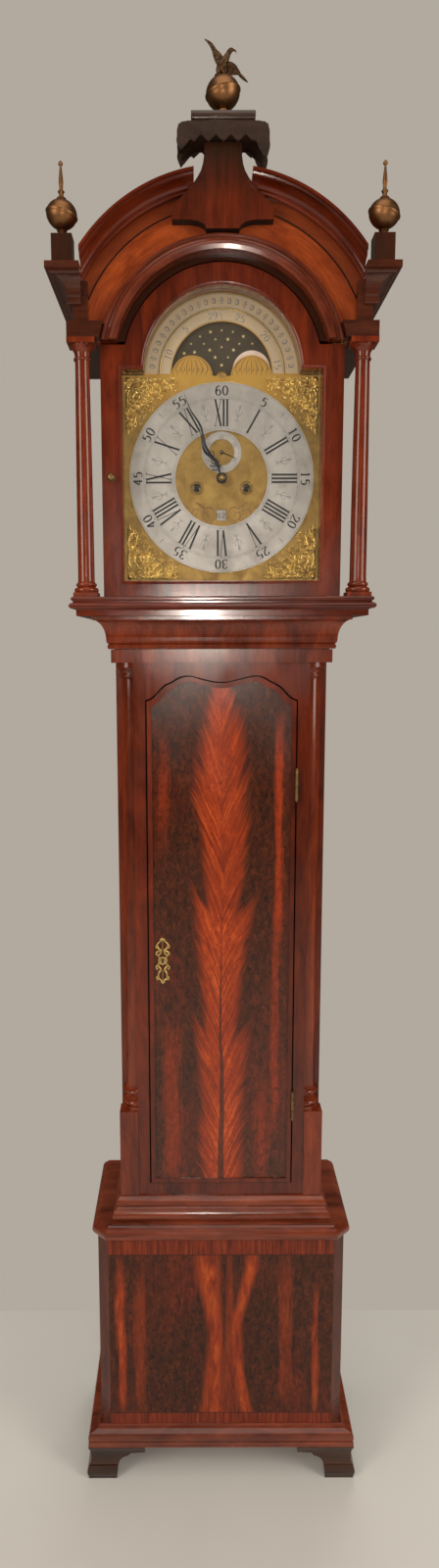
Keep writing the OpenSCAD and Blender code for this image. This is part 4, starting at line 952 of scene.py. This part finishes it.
class Tubes:
    """Gathers tapering oval tubes along lines into one mesh."""

    def __init__(self):
        self.verts, self.faces = [], []

    def add(self, points, wide, deep, sides=8, flat=(0.0, 1.0, 0.0)):
        """wide and deep are half sizes, as numbers or of the share along the line."""
        start, count = len(self.verts), len(points)
        points = [Vector(p) for p in points]
        flat = Vector(flat)
        for i, p in enumerate(points):
            along = (points[min(i + 1, count - 1)] - points[max(i - 1, 0)]).normalized()
            across = along.cross(flat)
            across = across.normalized() if across.length > 1e-6 else Vector((1, 0, 0))
            up = across.cross(along).normalized()
            t = i / max(count - 1, 1)
            w = wide(t) if callable(wide) else wide
            d = deep(t) if callable(deep) else deep
            for k in range(sides):
                a = 2 * math.pi * k / sides
                self.verts.append(tuple(p + across * w * math.cos(a) + up * d * math.sin(a)))
        self.faces += tube_faces(start, count, sides)

    def ball(self, centre, radius, steps=10, squash=(1.0, 1.0, 1.0)):
        start = len(self.verts)
        for i in range(1, steps):
            a = math.pi * i / steps
            for k in range(2 * steps):
                b = math.pi * k / steps
                self.verts.append((
                    centre[0] + radius * squash[0] * math.sin(a) * math.cos(b),
                    centre[1] + radius * squash[1] * math.sin(a) * math.sin(b),
                    centre[2] + radius * squash[2] * math.cos(a),
                ))
        self.faces += tube_faces(start, steps - 1, 2 * steps)

    def piece(self, name, material, body):
        return to_object(name, self.verts, self.faces, material, body, 60.0)


def swell(t):
    """Full in the first half and drawn out to a point."""
    return math.sin(math.pi * min(1.0, 0.25 + 0.75 * t)) ** 0.8 * (1 - 0.25 * t) + 0.06


def fuse(piece, voxel, rounds, factor):
    """One cast skin over the overlapping parts of a piece."""
    grow = piece.modifiers.new("fuse", "REMESH")
    grow.mode = "VOXEL"
    grow.voxel_size = voxel * MM
    grow.use_smooth_shade = True
    soft = piece.modifiers.new("soften", "SMOOTH")
    soft.iterations = rounds
    soft.factor = factor
    bpy.context.view_layer.update()
    mesh = bpy.data.meshes.new_from_object(piece.evaluated_get(bpy.context.evaluated_depsgraph_get()))
    piece.modifiers.clear()
    piece.data = mesh
    mesh.shade_smooth()


# Spandrels: scrolls, a shell in the corner and leaves, the same in each corner of the dial
SPANDREL_EDGE = 5.0
dial_low, dial_high = low("dial_plate"), high("dial_plate")
corner_x = dial_high.x - SPANDREL_EDGE
corner_low, corner_high = dial_low.z + SPANDREL_EDGE, MOON.z - 3.0
SCROLLS = [
    [(7, 20), (4, 32), (5, 45), (11, 54), (18, 52), (18, 45), (13, 45)],
    [(20, 20), (14, 30), (13, 40), (19, 46), (26, 42), (25, 35), (20, 36)],
    [(6, 48), (3, 60), (6, 71), (12, 76), (16, 71), (12, 66), (9, 70)],
    [(14, 56), (17, 64), (14, 72), (8, 80), (4, 84)],
    [(26, 26), (30, 34), (38, 36), (43, 31), (39, 26), (34, 29)],
    [(20, 8), (28, 4), (36, 8), (35, 14), (30, 13)],
]
BEADS = [(5, 5, 4.2), (30, 22, 2.0), (22, 30, 2.0), (33, 33, 2.4), (44, 13, 1.8), (13, 44, 1.8), (58, 8, 1.6),
         (8, 58, 1.6), (70, 6, 1.4), (6, 70, 1.4)]
THREADS = [
    [(3, 3), (40, 3), (84, 2)], [(3, 3), (3, 40), (2, 84)], [(5, 5), (20, 20), (38, 38)],
    [(6, 26), (20, 36), (36, 20), (26, 6)],
]
SPANDREL_ROOM = 156.5  # from the dial's centre, just outside the chapter ring


def stem_width(t):
    return 0.45 + 1.75 * math.sin(math.pi * min(1, 0.15 + t)) ** 0.7 * (1 - 0.45 * t)


def spandrel(name, sx, sz, corner_z):
    work = Tubes()
    front = PLATE_FRONT - 0.6
    shuffle = random.Random(7)

    def at(a, b, lift=0.0):
        return (-sx * (corner_x - a), front - lift, corner_z + sz * b)

    def inside(a, b):
        x, z = -sx * (corner_x - a), corner_z + sz * b
        return a > 0.5 and b > 0.5 and math.hypot(x - DIAL.x, z - DIAL.z) > SPANDREL_ROOM

    for flip in (False, True):
        def put(u, v, lift=0.0, flip=flip):
            return at(v, u, lift) if flip else at(u, v, lift)

        def fits(p, flip=flip):
            return inside(*p[::-1]) if flip else inside(*p)

        for line in SCROLLS:
            smooth = [p for p in curve_points(line, 7) if fits(p)]
            if len(smooth) < 5:
                continue
            work.add([put(u, v, 1.3) for u, v in smooth], stem_width, bulge(1.1, 1.0), 8)
            work.ball(put(*smooth[-1], 1.6), 1.7, 6)
            for i in range(2, len(smooth) - 2, 4):
                (u, v), (p, q) = smooth[i], smooth[i + 1]
                size = math.hypot(p - u, q - v) or 1.0
                du, dv = (p - u) / size, (q - v) / size
                side = 1 if (i // 4) % 2 else -1
                reach = 6.5 + 2.5 * shuffle.random()
                leaf = [(u, v)]
                for out, on in ((0.45, 0.3), (0.75, 0.9)):
                    leaf.append((u + reach * (on * du - out * side * dv),
                                 v + reach * (on * dv + out * side * du)))
                if all(fits(p) for p in leaf):
                    work.add([put(a, b, 1.0 + 0.5 * k / 6) for k, (a, b) in enumerate(curve_points(leaf, 4))],
                             lambda t: 1.5 * swell(t), lambda t: 1.3 * (1 - t) + 0.4, 6)
    for k in range(-4, 5):
        bend = math.radians(45 + 17 * k)
        reach = 21.0 - 1.1 * abs(k)
        ray = [(4 + s * reach * math.cos(bend), 4 + s * reach * math.sin(bend))
               for s in (0.15, 0.4, 0.7, 1.0)]
        ray = [p for p in ray if inside(*p)]
        if len(ray) > 2:
            work.add([at(a, b, 1.2 + math.sin(i)) for i, (a, b) in enumerate(curve_points(ray, 3))],
                     lambda t: 0.6 + 1.5 * t - 0.4 * t ** 4, 1.6, 8)
            work.ball(at(*ray[-1], 1.2), 1.9, 6)
    for a, b, r in BEADS:
        if inside(a, b):
            work.ball(at(a, b, 0.8), r, 7)
    # Small curled leaves fill the ground between the scrolls
    for _ in range(420):
        a, b = 2 + 84 * shuffle.random() ** 1.3, 2 + 84 * shuffle.random() ** 1.3
        turn = 2 * math.pi * shuffle.random()
        curl = shuffle.choice((-1, 1)) * (0.9 + 0.8 * shuffle.random())
        size = 1.7 + 1.6 * shuffle.random()
        line = [(a + size * k * math.cos(turn + curl * k / 2), b + size * k * math.sin(turn + curl * k / 2))
                for k in (0.0, 0.7, 1.4, 2.1)]
        if all(inside(*p) for p in line):
            lifted = [at(*p, 0.8 + 0.8 * i) for i, p in enumerate(line)]
            work.add(lifted, lambda t: 1.15 * swell(t), taper(1.2, 0.6), 6)
    # Threads that tie the open work together
    for line in THREADS:
        smooth = [p for p in curve_points(line, 9) if inside(*p)]
        if len(smooth) > 3:
            work.add([at(a, b, 0.3) for a, b in smooth], 0.9, 0.9, 6)
    return work.piece(name, gilt, "case")


first = spandrel("spandrel_top_left", 1, -1, corner_high)
spandrel("spandrel_top_right", -1, -1, corner_high)
spandrel("spandrel_bottom_left", 1, 1, corner_low)
spandrel("spandrel_bottom_right", -1, 1, corner_low)
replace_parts(first, "spandrels")

# Escutcheon of the trunk door: two open loops of scrolls round the keyhole
plate_low, plate_high = low("trunk_escutcheon"), high("trunk_escutcheon")
key_at = ((plate_low.x + plate_high.x) / 2, (plate_low.z + plate_high.z) / 2)
lift = plate_high.y - 1.6
work = Tubes()


def on_door(u, v, out=0.0):
    return (key_at[0] + u, lift - out, key_at[1] + v)


for side in (-1, 1):
    loops = [
        [(0, 38), (5, 35), (9.5, 29), (7, 22), (3, 19), (4, 13), (8, 9), (5, 5)],
        [(0, 40.5), (2.5, 39), (4, 36)],
        [(8.5, 30), (11.5, 27), (10.5, 23.5), (8, 24.5)],
        [(4, 17), (9, 16.5), (11.5, 13), (9.5, 10), (7, 11.5)],
        [(5, -5), (9, -8.5), (5.5, -13), (3.5, -17), (7.5, -24), (7.5, -31), (3.5, -36), (0, -37.5)],
        [(8, -9), (11.5, -11), (11, -15), (8, -15)],
        [(7.5, -29), (10.5, -31), (9.5, -35), (7, -34)],
        [(0, -41), (2.2, -39.5), (3.2, -37)],
    ]
    for line in loops:
        work.add([on_door(side * u, v, 0.5) for u, v in curve_points(line, 6)],
                 bulge(1.0, 0.7), 0.9, 8)
boss_ring = [(7.2 * math.sin(a * math.pi / 12), 6.4 * math.cos(a * math.pi / 12)) for a in range(25)]
work.add([on_door(u, v, 0.6) for u, v in boss_ring], 1.5, 1.1, 8)
work.ball(on_door(0, 41, 0.4), 1.7, 6)
work.ball(on_door(0, -41.5, 0.4), 1.7, 6)
for v in (28.0, -27.0):
    work.add([on_door(0, v - 9, 0.3), on_door(0, v, 0.5), on_door(0, v + 9, 0.3)], 0.7, 0.6, 6)
escutcheon = work.piece("escutcheon_scrolls", brass, "trunk_door")
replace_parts(escutcheon, "trunk_escutcheon")
key_plate = Inlay(lift - 0.2, 1.4)
key_plate.disc(key_at, 6.6, 32)
key_plate.piece("escutcheon_boss", brass, "trunk_door")
keyhole = Inlay(lift - 0.35, 0.3)
keyhole.disc((key_at[0], key_at[1] + 1.4), 2.2, 20)
keyhole.stroke([(key_at[0], key_at[1] + 1.0), (key_at[0], key_at[1] - 4.6)], lambda t: 1.6 + 1.4 * t)
keyhole.piece("escutcheon_keyhole", ink, "trunk_door", slot="lacquered_brass")

# Carved canopy over the pedestal: hanging leaves on every face and drooping corners
canopy_low, canopy_high = low("canopy"), high("canopy")
CANOPY_Y = (canopy_low.y + canopy_high.y) / 2
neck_top = high("finial_plinths").z
LEAF_H, LEAF_W = 24.0, 22.6
half_w, half_d = canopy_high.x - 0.6, 26.0
DROOP = {-1: 22.0, 1: 35.0}


def canopy_top(x, y):
    """Height of the canopy's rounded top."""
    out = max((abs(x) - (half_w - 14.0)) / 14.0, (abs(y) - (half_d - 3.0)) / 3.0, 0.0)
    fall = 14.0 * (1 - math.sqrt(max(0.0, 1 - min(out, 1.0) ** 2)))
    return neck_top + LEAF_H - fall * (1.0 if abs(x) > half_w - 14.0 else 0.15)


def canopy_under(x, y):
    """Height of the hollow underside, which runs down into four corner tips."""
    a = min(1.0, max(0.0, (abs(x) - 31.0) / (half_w - 5.5 - 31.0)))
    b = min(1.0, max(0.0, (abs(y) - 9.0) / (half_d - 9.0)))
    outer = max(0.0, (abs(x) - (half_w - 5.5)) / 5.5)
    fall = DROOP[1 if x > 0 else -1] * a ** 2.2 * b ** 1.3 * (1 - 0.75 * outer ** 1.5)
    return neck_top + 3.0 - fall


def slab_faces(start, outer, inner):
    """Faces of two layers of a grid of corners, joined round their rim."""
    faces, size = [], outer * inner
    for i in range(outer - 1):
        for k in range(inner - 1):
            a = start + i * inner + k
            b = a + size
            faces += [(a, a + inner, a + inner + 1, a + 1), (b, b + 1, b + inner + 1, b + inner)]
    rim = [i * inner for i in range(outer)] + [(outer - 1) * inner + k for k in range(1, inner)]
    rim += [i * inner + inner - 1 for i in range(outer - 2, -1, -1)] + list(range(inner - 2, 0, -1))
    for a, b in zip(rim, rim[1:] + rim[:1]):
        faces.append((start + a, start + b, start + b + size, start + a + size))
    return faces


def build_canopy():
    columns, rows, verts = 93, 31, []
    for surface in (canopy_top, canopy_under):
        for i in range(columns):
            x = -half_w + 2 * half_w * i / (columns - 1)
            for k in range(rows):
                y = -half_d + 2 * half_d * k / (rows - 1)
                verts.append((x, CANOPY_Y + y, surface(x, y)))
    return to_object("canopy_body", verts, slab_faces(0, columns, rows), dark_carving, "hood", 40.0)


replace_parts(build_canopy(), "canopy")


class Leaves:
    """Pointed carved leaves with a middle rib, laid on upright faces."""

    def __init__(self):
        self.verts, self.faces = [], []

    def add(self, top, tip, half, out, along, thick=3.0):
        """top and tip are (across, height); along is the level direction of the face they lie on."""
        rows, cols = 13, 13
        normal = (along[1], -along[0])
        start = len(self.verts)
        for layer in (0, 1):
            for i in range(rows):
                v = i / (rows - 1)
                w = half * (1 - max(0.0, (v - 0.60) / 0.40) ** 1.15) + 0.12
                mid = top[0] + (tip[0] - top[0]) * v ** 1.6
                z = top[1] + (tip[1] - top[1]) * v
                for k in range(cols):
                    t = -1 + 2 * k / (cols - 1)
                    rib = 0.6 * math.exp(-((t * 5) ** 2)) + 0.45 * math.cos(math.pi * 4 * t)
                    swell_out = (1 - t * t) * (1.5 - 0.5 * v) + rib * (1 - v * 0.5)
                    swell_out += 0.9 * math.sin(math.pi * v)
                    d = out + (max(0.3, swell_out) if layer == 0 else -thick)
                    u = mid + w * t
                    x, y = u * along[0] + normal[0] * d, CANOPY_Y + u * along[1] + normal[1] * d
                    self.verts.append((x, y, z))
        self.faces += slab_faces(start, rows, cols)


leaves = Leaves()
leaf_top = neck_top + LEAF_H - 2.0
for facing in (-1, 1):
    way = (-facing * 1.0, 0.0)
    for k in range(-2, 3):
        leaves.add((k * LEAF_W, leaf_top), (k * LEAF_W, neck_top - 5.5), 11.6, half_d - 0.6, way)
    for side in (-1, 1):
        across = -facing * side
        corner_tip = (across * (half_w - 4.8), neck_top + 2.6 - DROOP[side] * 0.97)
        leaves.add((across * 58.5, leaf_top - 3.0), corner_tip, 9.6, half_d - 0.6, way)
for side in (-1, 1):
    way = (0.0, side * 1.0)
    for k in (-0.5, 0.5):
        leaves.add((k * 24.0, leaf_top - 12.0), (k * 24.0, neck_top - 4.0), 11.5, half_w - 2.6, way)
to_object("canopy_leaves", leaves.verts, leaves.faces, dark_carving, "hood", 50.0)


def framed(name, profile, half_x, half_y, centre, material, body):
    """A moulding round a rectangle: profile is (outwards, up), its ends closed across the middle."""
    verts = []
    for out, up in profile:
        for sx, sy in ((-1, -1), (1, -1), (1, 1), (-1, 1)):
            verts.append((centre[0] + sx * (half_x + out), centre[1] + sy * (half_y + out), centre[2] + up))
    piece = to_object(name, verts, tube_faces(0, len(profile), 4), material, body, 30.0)
    soft = piece.modifiers.new("worn_edges", "BEVEL")
    soft.width, soft.segments, soft.limit_method = 0.5 * MM, 2, "ANGLE"


cap_top = canopy_high.z
cap_base = neck_top + LEAF_H
cap_h = cap_top - cap_base
cap_profile = [(-8, 0), (-5, 0.2), (-4.2, 1.0), (-4.2, 2.0)]
cap_profile += [(-4.2 + 3.0 * math.sin(a * math.pi / 12), 4.4 - 2.4 * math.cos(a * math.pi / 12))
                for a in range(1, 7)]
cap_profile += [(0.0, 5.0), (0.0, cap_h - 1.6), (-0.8, cap_h), (-2.4, cap_h), (-3.2, cap_h - 1.8)]
framed("canopy_cap", cap_profile, 49.0, 26.5, (0.0, CANOPY_Y, cap_base), cap_wood, "hood")

# Bronze finials
ball_low, ball_high = low("side_finials"), high("side_finials")
finial_x = ball_high.x - 25.5
finial_y = (ball_low.y + ball_high.y) / 2
BALL_R = 24.0
SPIRE = [(0, 0), (5.4, 0.0), (6.4, 1.4), (5.2, 3.0), (3.4, 4.4), (2.6, 7.0), (3.6, 9.6), (4.4, 11.0),
         (3.4, 12.8), (2.2, 14.4), (2.5, 19.0), (3.0, 24.0), (2.6, 30.0), (1.7, 40.0), (1.3, 45.0),
         (1.5, 46.0), (2.7, 47.5), (3.0, 49.0), (2.3, 50.8), (1.0, 52.6), (0, 53.6)]
SPIRE_H = SPIRE[-1][1]
SPIRE_GIRTH = 1.22
SPIRE_UP = 53.0  # its foot over the foot of the finial


def ball_profile(radius, up, down, ridge, foot, neck):
    """Domed above and drawn in below, with a raised seam round the middle."""
    out = []
    for i in range(1, 41):
        a = -math.pi / 2 + math.pi * i / 41
        tall = up if a > 0 else down
        full = 0.92 + 0.08 * math.cos(a)
        r = radius * math.cos(a) ** (1.0 if a > 0 else 1.12) * full + ridge * math.exp(-((a / 0.09) ** 2))
        if r > (foot if a < 0 else neck):
            out.append((r, tall * math.sin(a)))
    return out


for side in (-1, 1):
    name = "left" if side < 0 else "right"
    base_z = ball_low.z
    foot = [(0, 0), (9.5, 0), (9.8, 1.2), (8.0, 2.6), (5.4, 3.6), (5.0, 5.0), (6.6, 7.0), (8.0, 8.6)]
    lathe(f"finial_foot_{name}", foot + [(0, 12.5)], (side * finial_x, finial_y, base_z), bronze, "hood")
    ball = ball_profile(BALL_R, 21.8, 22.2, 1.6, 5.0, 4.0)
    made = lathe(f"finial_ball_{name}", [(0, -22.1)] + ball + [(0, 21.8)],
                 (side * finial_x, finial_y, base_z + 32.0), bronze, "hood", tilt=14.0, steps=72)
    if side < 0:
        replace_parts(made, "side_finials")
    spire_h = ball_high.z - (base_z + SPIRE_UP)
    spire = [(SPIRE_GIRTH * r, h * spire_h / SPIRE_H) for r, h in SPIRE]
    spire_base = (side * finial_x, finial_y, base_z + SPIRE_UP)
    lathe(f"finial_spire_{name}", spire, spire_base, bronze, "hood", steps=32)

eagle_low = low("eagle_finial")
ball_z, perch = eagle_low.z + 36.0, eagle_low.z + 60.2
lathe("eagle_ball_foot",
      [(0, 0), (9.6, 0), (10.0, 1.2), (8.2, 2.6), (6.2, 4.6), (5.6, 8.4), (7.4, 12.0), (0, 14.5)],
      (0.0, CANOPY_Y, eagle_low.z), bronze, "hood")
lathe("eagle_ball",
      [(0, -24.6)] + ball_profile(26.2, perch - ball_z, 24.7, 1.6, 5.0, 2.0) + [(0, perch - ball_z)],
      (0.0, CANOPY_Y, ball_z), bronze, "hood", tilt=-11.0, steps=72)
EAGLE_SIZE = 1.068


def build_eagle():
    work = Tubes()

    def at(x, z, y=0.0):
        return (EAGLE_SIZE * x, CANOPY_Y + EAGLE_SIZE * y, perch + EAGLE_SIZE * z)

    # across, up and girth from the tail's root to the brow
    body = [(-7, 1, 1.6), (-6, 7, 4.6), (-2.5, 13, 6.4), (1.5, 18.5, 6.2), (5, 24, 4.9), (7.5, 28.5, 3.9),
            (9.5, 32, 3.7), (12, 33.6, 3.3), (14.2, 33.2, 2.4)]
    line = curve_points([(x, z) for x, z, _ in body], 4)
    size = curve_points([(r, 0.0) for _, _, r in body], 4)
    radii = [max(0.5, r) for r, _ in size]
    last = len(radii) - 1
    work.add([at(x, z) for x, z in line], lambda t: radii[round(t * last)],
             lambda t: 0.92 * radii[round(t * last)], 14)
    work.ball(at(1.5, 9.5), 7.2, 10, (0.95, 0.9, 1.25))
    beak = curve_points([(13.5, 33.6), (16.6, 33.2), (18.6, 31.2), (18.8, 28.6)], 4)
    work.add([at(*p) for p in beak], lambda t: 1.9 * (1 - t) + 0.25, lambda t: 1.5 * (1 - t) + 0.25, 8)
    for side in (-1, 1):
        leg = [at(-1.5, 9, side * 3.0), at(0.5, 4, side * 3.6), at(1.0, 0.5, side * 3.4)]
        work.add(leg, taper(2.6, 1.5), taper(2.6, 1.5), 8)
        for toe in (-1, 0, 1):
            foot = side * 3.4
            claw = [at(1.0, 0.6, foot), at(4.0, 0.5, foot + toe * 1.5), at(6.0, -1.4, foot + toe * 2.2)]
            work.add(claw, taper(0.9, 0.4), taper(0.9, 0.4), 6)
    for spread in range(-2, 3):
        plume = [at(-6, 5, 0.5 * spread), at(-10.5 - 0.5 * abs(spread), -1.0, 1.6 * spread),
                 at(-13.5 + 0.9 * abs(spread), -8.0, 2.7 * spread)]
        work.add(plume, lambda t: 1.5 + 0.4 * t - 0.9 * t ** 4, 0.7, 8, flat=(0.8, 0.0, 0.6))
    wings = [
        # shoulder, wrist, feather ends from the body outwards, and how far the wing reaches back
        ((0.5, 20.0), (-11.0, 37.0),
         [(-5.5, 10.0), (-10.5, 17.5), (-14.0, 26.5), (-16.0, 35.0), (-20.0, 44.0), (-26.6, 52.2)], 5.0),
        ((4.5, 17.0), (19.0, 16.5),
         [(6.0, 3.0), (11.0, 2.4), (17.0, 3.4), (24.0, 4.4), (30.5, 2.6), (36.8, -3.6)], 7.0),
    ]
    for shoulder, wrist, ends, back in wings:
        tips = curve_points(ends, 3)
        count = len(tips)
        elbow = ((shoulder[0] + wrist[0]) / 2, (shoulder[1] + wrist[1]) / 2 + 2.0)
        arm = curve_points([shoulder, elbow, wrist])
        raised = [at(u, v, 2.0 + back * i / len(arm)) for i, (u, v) in enumerate(arm)]
        work.add(raised, taper(3.6, 1.6), taper(2.6, 1.2), 10)
        for i, tip in enumerate(tips):
            t = i / (count - 1)
            root = arm[min(len(arm) - 1, round(t ** 0.8 * (len(arm) - 1)))]
            bow = ((root[0] + tip[0]) / 2 + (tip[1] - root[1]) * 0.10,
                   (root[1] + tip[1]) / 2 - (tip[0] - root[0]) * 0.10)
            depth = 2.0 + back * t
            work.add([at(u, v, depth + 0.35 * (i % 2)) for u, v in curve_points([root, bow, tip], 6)],
                     lambda s: 2.2 * math.sin(math.pi * min(1.0, 0.3 + 0.7 * s)) ** 0.6 + 0.15, 0.85, 8)
            if i % 2 == 0:
                cover = tuple(root[c] + 0.42 * (tip[c] - root[c]) for c in (0, 1))
                work.add([at(u, v, depth - 0.9) for u, v in (root, cover)],
                         lambda s: 1.9 * (1 - s ** 3) + 0.2, 0.9, 8)
    made = work.piece("eagle", eagle_bronze, "hood")
    fuse(made, 0.55, 2, 0.4)
    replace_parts(made, "eagle_finial")


build_eagle()

# Bead round the glazed opening, and the dark line let into the arched board
glass_low, glass_high = low("hood_glass"), high("hood_glass")
door_front = low("hood_door").y
OPENING_R = glass_high.z - MOON.z
opening_x = glass_high.x


def opening_line(out):
    """The glazed opening's outline moved out by a distance, corner by corner."""
    r = OPENING_R + out
    x = opening_x + out
    shoulder = MOON.z + out
    rise = math.degrees(math.asin(min(1.0, out / r)))
    arc = [(r * math.sin(math.radians(a)), MOON.z + r * math.cos(math.radians(a)))
           for a in (90 - rise - (180 - 2 * rise) * i / 48 for i in range(49))]
    return [(-x, glass_low.z - out), (x, glass_low.z - out), (x, shoulder)] + arc + [(-x, shoulder)]


def bead_round(name, inner, outer, front, back, material, body, lines=5):
    """A quarter round that follows the opening between two offsets of its outline."""
    rings = [opening_line(outer)]
    depths = [back]
    for i in range(lines + 1):
        a = math.pi / 2 * i / lines
        rings.append(opening_line(outer + (inner - outer) * math.sin(a)))
        depths.append(back - (back - front) * math.cos(a) if i else front)
    rings.append(opening_line(inner))
    depths.append(back)
    verts = [(u, y, v) for ring, y in zip(rings, depths) for u, v in ring]
    return to_object(name, verts, tube_faces(0, len(rings), len(rings[0]), True), material, body, 50.0)


bead_round("hood_door_bead", 0.4, 5.4, door_front - 1.6, door_front + 2.0, wood_up, "hood_door")
string_line = Inlay(low("tympanum").y - 0.7, 1.2)
STRING_R = 233.0
for a0, a1 in ((-74.0, -18.0), (18.0, 74.0)):
    string_line.circle((0.0, CROWN_Z / MM), STRING_R, 2.0, a0, a1, 60)
string_line.piece("tympanum_string", ebony, "hood")

# Dark underside of the pedestal, in the shade of the arch
crest = NODES["finial_plinths"].data
crest.materials.append(shadow_wood)
PEDESTAL_HALF = 90.0
for face in crest.polygons:
    if face.normal.z < -0.2 and abs(face.center.x) < PEDESTAL_HALF * MM:
        face.material_index = 1

# Painted shade in the winding holes: the fronts of the winding squares get dark blued steel
SQUARE_BACK = -20.0
for barrel in ("going_barrel", "strike_barrel"):
    part = NODES[barrel]
    part.data.materials.append(blued)
    for face in part.data.polygons:
        if (part.matrix_world @ face.center).y < SQUARE_BACK * MM:
            face.material_index = 1
# ---------------------------------------------------------------- gut lines


def twisted(name, points, radius, sides=9, step=2.6):
    """Twisted gut along a line of close points; the caller says what moves it."""
    verts = []
    points = [Vector(p) for p in points]
    count, travelled = len(points), 0.0
    for i, p in enumerate(points):
        along = (points[min(i + 1, count - 1)] - points[max(i - 1, 0)]).normalized()
        across = along.cross(Vector((0, 1, 0))).normalized()
        up = across.cross(along).normalized()
        travelled += (p - points[i - 1]).length if i else 0.0
        for k in range(sides):
            a = 2 * math.pi * k / sides
            r = radius * (1 + 0.09 * math.cos(3 * a + 2 * math.pi * travelled / (3 * step)))
            verts.append(tuple(p + across * r * math.cos(a) + up * r * math.sin(a)))
    return to_object(name, verts, tube_faces(0, count, sides), gut, None, 60.0)


def straight(x, y, z0, z1, step=2.0):
    steps = max(2, round(abs(z1 - z0) / step))
    return [(x, y, z0 + (z1 - z0) * i / steps) for i in range(steps + 1)]


seat_top = low("movement_frame").z
for train in ("going", "strike"):
    line_low, line_high = low(f"{train}_line"), high(f"{train}_line")
    radius = (line_high.y - line_low.y) / 2
    y = (line_high.y + line_low.y) / 2
    wheel, drum = pivot(f"{train}_pulley_turn"), pivot(f"{train}_barrel_turn")
    falls = (line_low.x + radius, line_high.x - radius)
    for k, x in enumerate(falls):
        cord = twisted(f"{train}_fall_{k}", straight(x, y, line_high.z, wheel.z), radius * 0.92)
        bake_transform(cord)
        if k == 0:
            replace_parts(cord, f"{train}_line")
    reach = (falls[1] - falls[0]) / 2
    loop = [((falls[0] + falls[1]) / 2 + reach * math.cos(a), y, wheel.z + reach * math.sin(a))
            for a in (math.pi + math.pi * i / 40 for i in range(41))]
    under = twisted(f"{train}_loop", loop, radius * 0.92)
    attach(under, f"{train}_weight")
    lead_x = min(falls, key=lambda x: abs(abs(x - drum.x) - 25.0))
    lead = twisted(f"{train}_lead", straight(lead_x, y, line_high.z, drum.z), radius * 0.92)
    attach(lead, "case")
    tied_x = falls[0] + falls[1] - lead_x
    knot = Tubes()
    knot.ball((tied_x, y, seat_top + 3.2), 3.0, 8)
    knot.ball((tied_x, y, seat_top + 6.4), 2.0, 8)
    knot.piece(f"{train}_knot", gut, "case")
# ---------------------------------------------------------------- stage, light and camera


def stage_floor():
    half, near, far = 4.0, -5.0, 0.34
    mesh = bpy.data.meshes.new("floor")
    mesh.from_pydata([(-half, near, 0), (half, near, 0), (half, far, 0), (-half, far, 0)], [], [(0, 1, 2, 3)])
    floor = bpy.data.objects.new("floor", mesh)
    bpy.context.scene.collection.objects.link(floor)
    s = Shader("floor_paint", Roughness=0.75)
    clouds = s.noise(s.where(3.0, 3.0, 3.0), 3.0)
    s.set("Base_Color", s.ramp(clouds, (0.3, (0.60, 0.585, 0.55)), (0.7, (0.63, 0.615, 0.58))))
    mesh.materials.append(s.mat)


def area_light(name, location, target, size, power, colour=(1.0, 1.0, 1.0)):
    data = bpy.data.lights.new(name, "AREA")
    data.shape = "RECTANGLE"
    data.size, data.size_y = size
    data.energy = power
    data.color = colour
    lamp = bpy.data.objects.new(name, data)
    bpy.context.scene.collection.objects.link(lamp)
    lamp.location = location
    lamp.rotation_euler = (Vector(target) - Vector(location)).to_track_quat("-Z", "Y").to_euler()
    return lamp


stage_floor()
area_light("front_light", (-0.02, -1.95, 1.66), (0.0, 0.0, 1.35), (0.12, 0.12), 7.0, (1.0, 0.92, 0.82))
area_light("left_softbox", (-2.4, -2.2, 2.4), (0.0, 0.0, 1.2), (1.2, 2.2), 46.0, (1.0, 0.93, 0.84))
area_light("right_softbox", (2.6, -1.8, 2.2), (0.0, 0.0, 1.3), (1.2, 2.2), 43.0, (1.0, 0.94, 0.86))
area_light("top_light", (0.0, -0.9, 4.2), (0.0, 0.0, 1.2), (2.2, 2.2), 22.0, (1.0, 0.95, 0.88))
behind = area_light("back_light", (0.6, 3.0, 2.6), (0.0, 0.0, 1.3), (2.0, 2.0), 40.0, (1.0, 0.97, 0.93))
behind.visible_glossy = False

scene = bpy.context.scene
scene.view_settings.view_transform = "Standard"
world = bpy.data.worlds.new("studio")
scene.world = world
world.use_nodes = True
tree = world.node_tree
rays = tree.nodes.new("ShaderNodeLightPath")


def sky(colour, strength):
    made = tree.nodes.new("ShaderNodeBackground")
    made.inputs[0].default_value = (*colour, 1.0)
    made.inputs[1].default_value = strength
    return made.outputs[0]


def choose(ray, otherwise, then):
    made = tree.nodes.new("ShaderNodeMixShader")
    for socket, source in zip(made.inputs, (rays.outputs[ray], otherwise, then)):
        tree.links.new(source, socket)
    return made.outputs[0]


fill = sky((0.92, 0.84, 0.74), 0.42)
dim_room = sky((0.85, 0.72, 0.58), 0.075)
backdrop = sky((0.445, 0.40, 0.345), 1.0)
seen = choose("Is Camera Ray", choose("Is Glossy Ray", fill, dim_room), backdrop)
tree.links.new(seen, tree.nodes["World Output"].inputs[0])

camera = bpy.data.cameras.new("camera")
camera.sensor_fit = "AUTO"
camera.sensor_width = 36.0
camera.lens = 21.375
camera.shift_x = 0.015
viewpoint = bpy.data.objects.new("camera", camera)
scene.collection.objects.link(viewpoint)
viewpoint.location = (-0.044, -1.659, 1.5645)
viewpoint.rotation_euler = (math.radians(90 - 8.56), 0.0, 0.0)
viewpoint.rotation_euler.rotate_axis("Z", math.radians(-0.15))
scene.camera = viewpoint
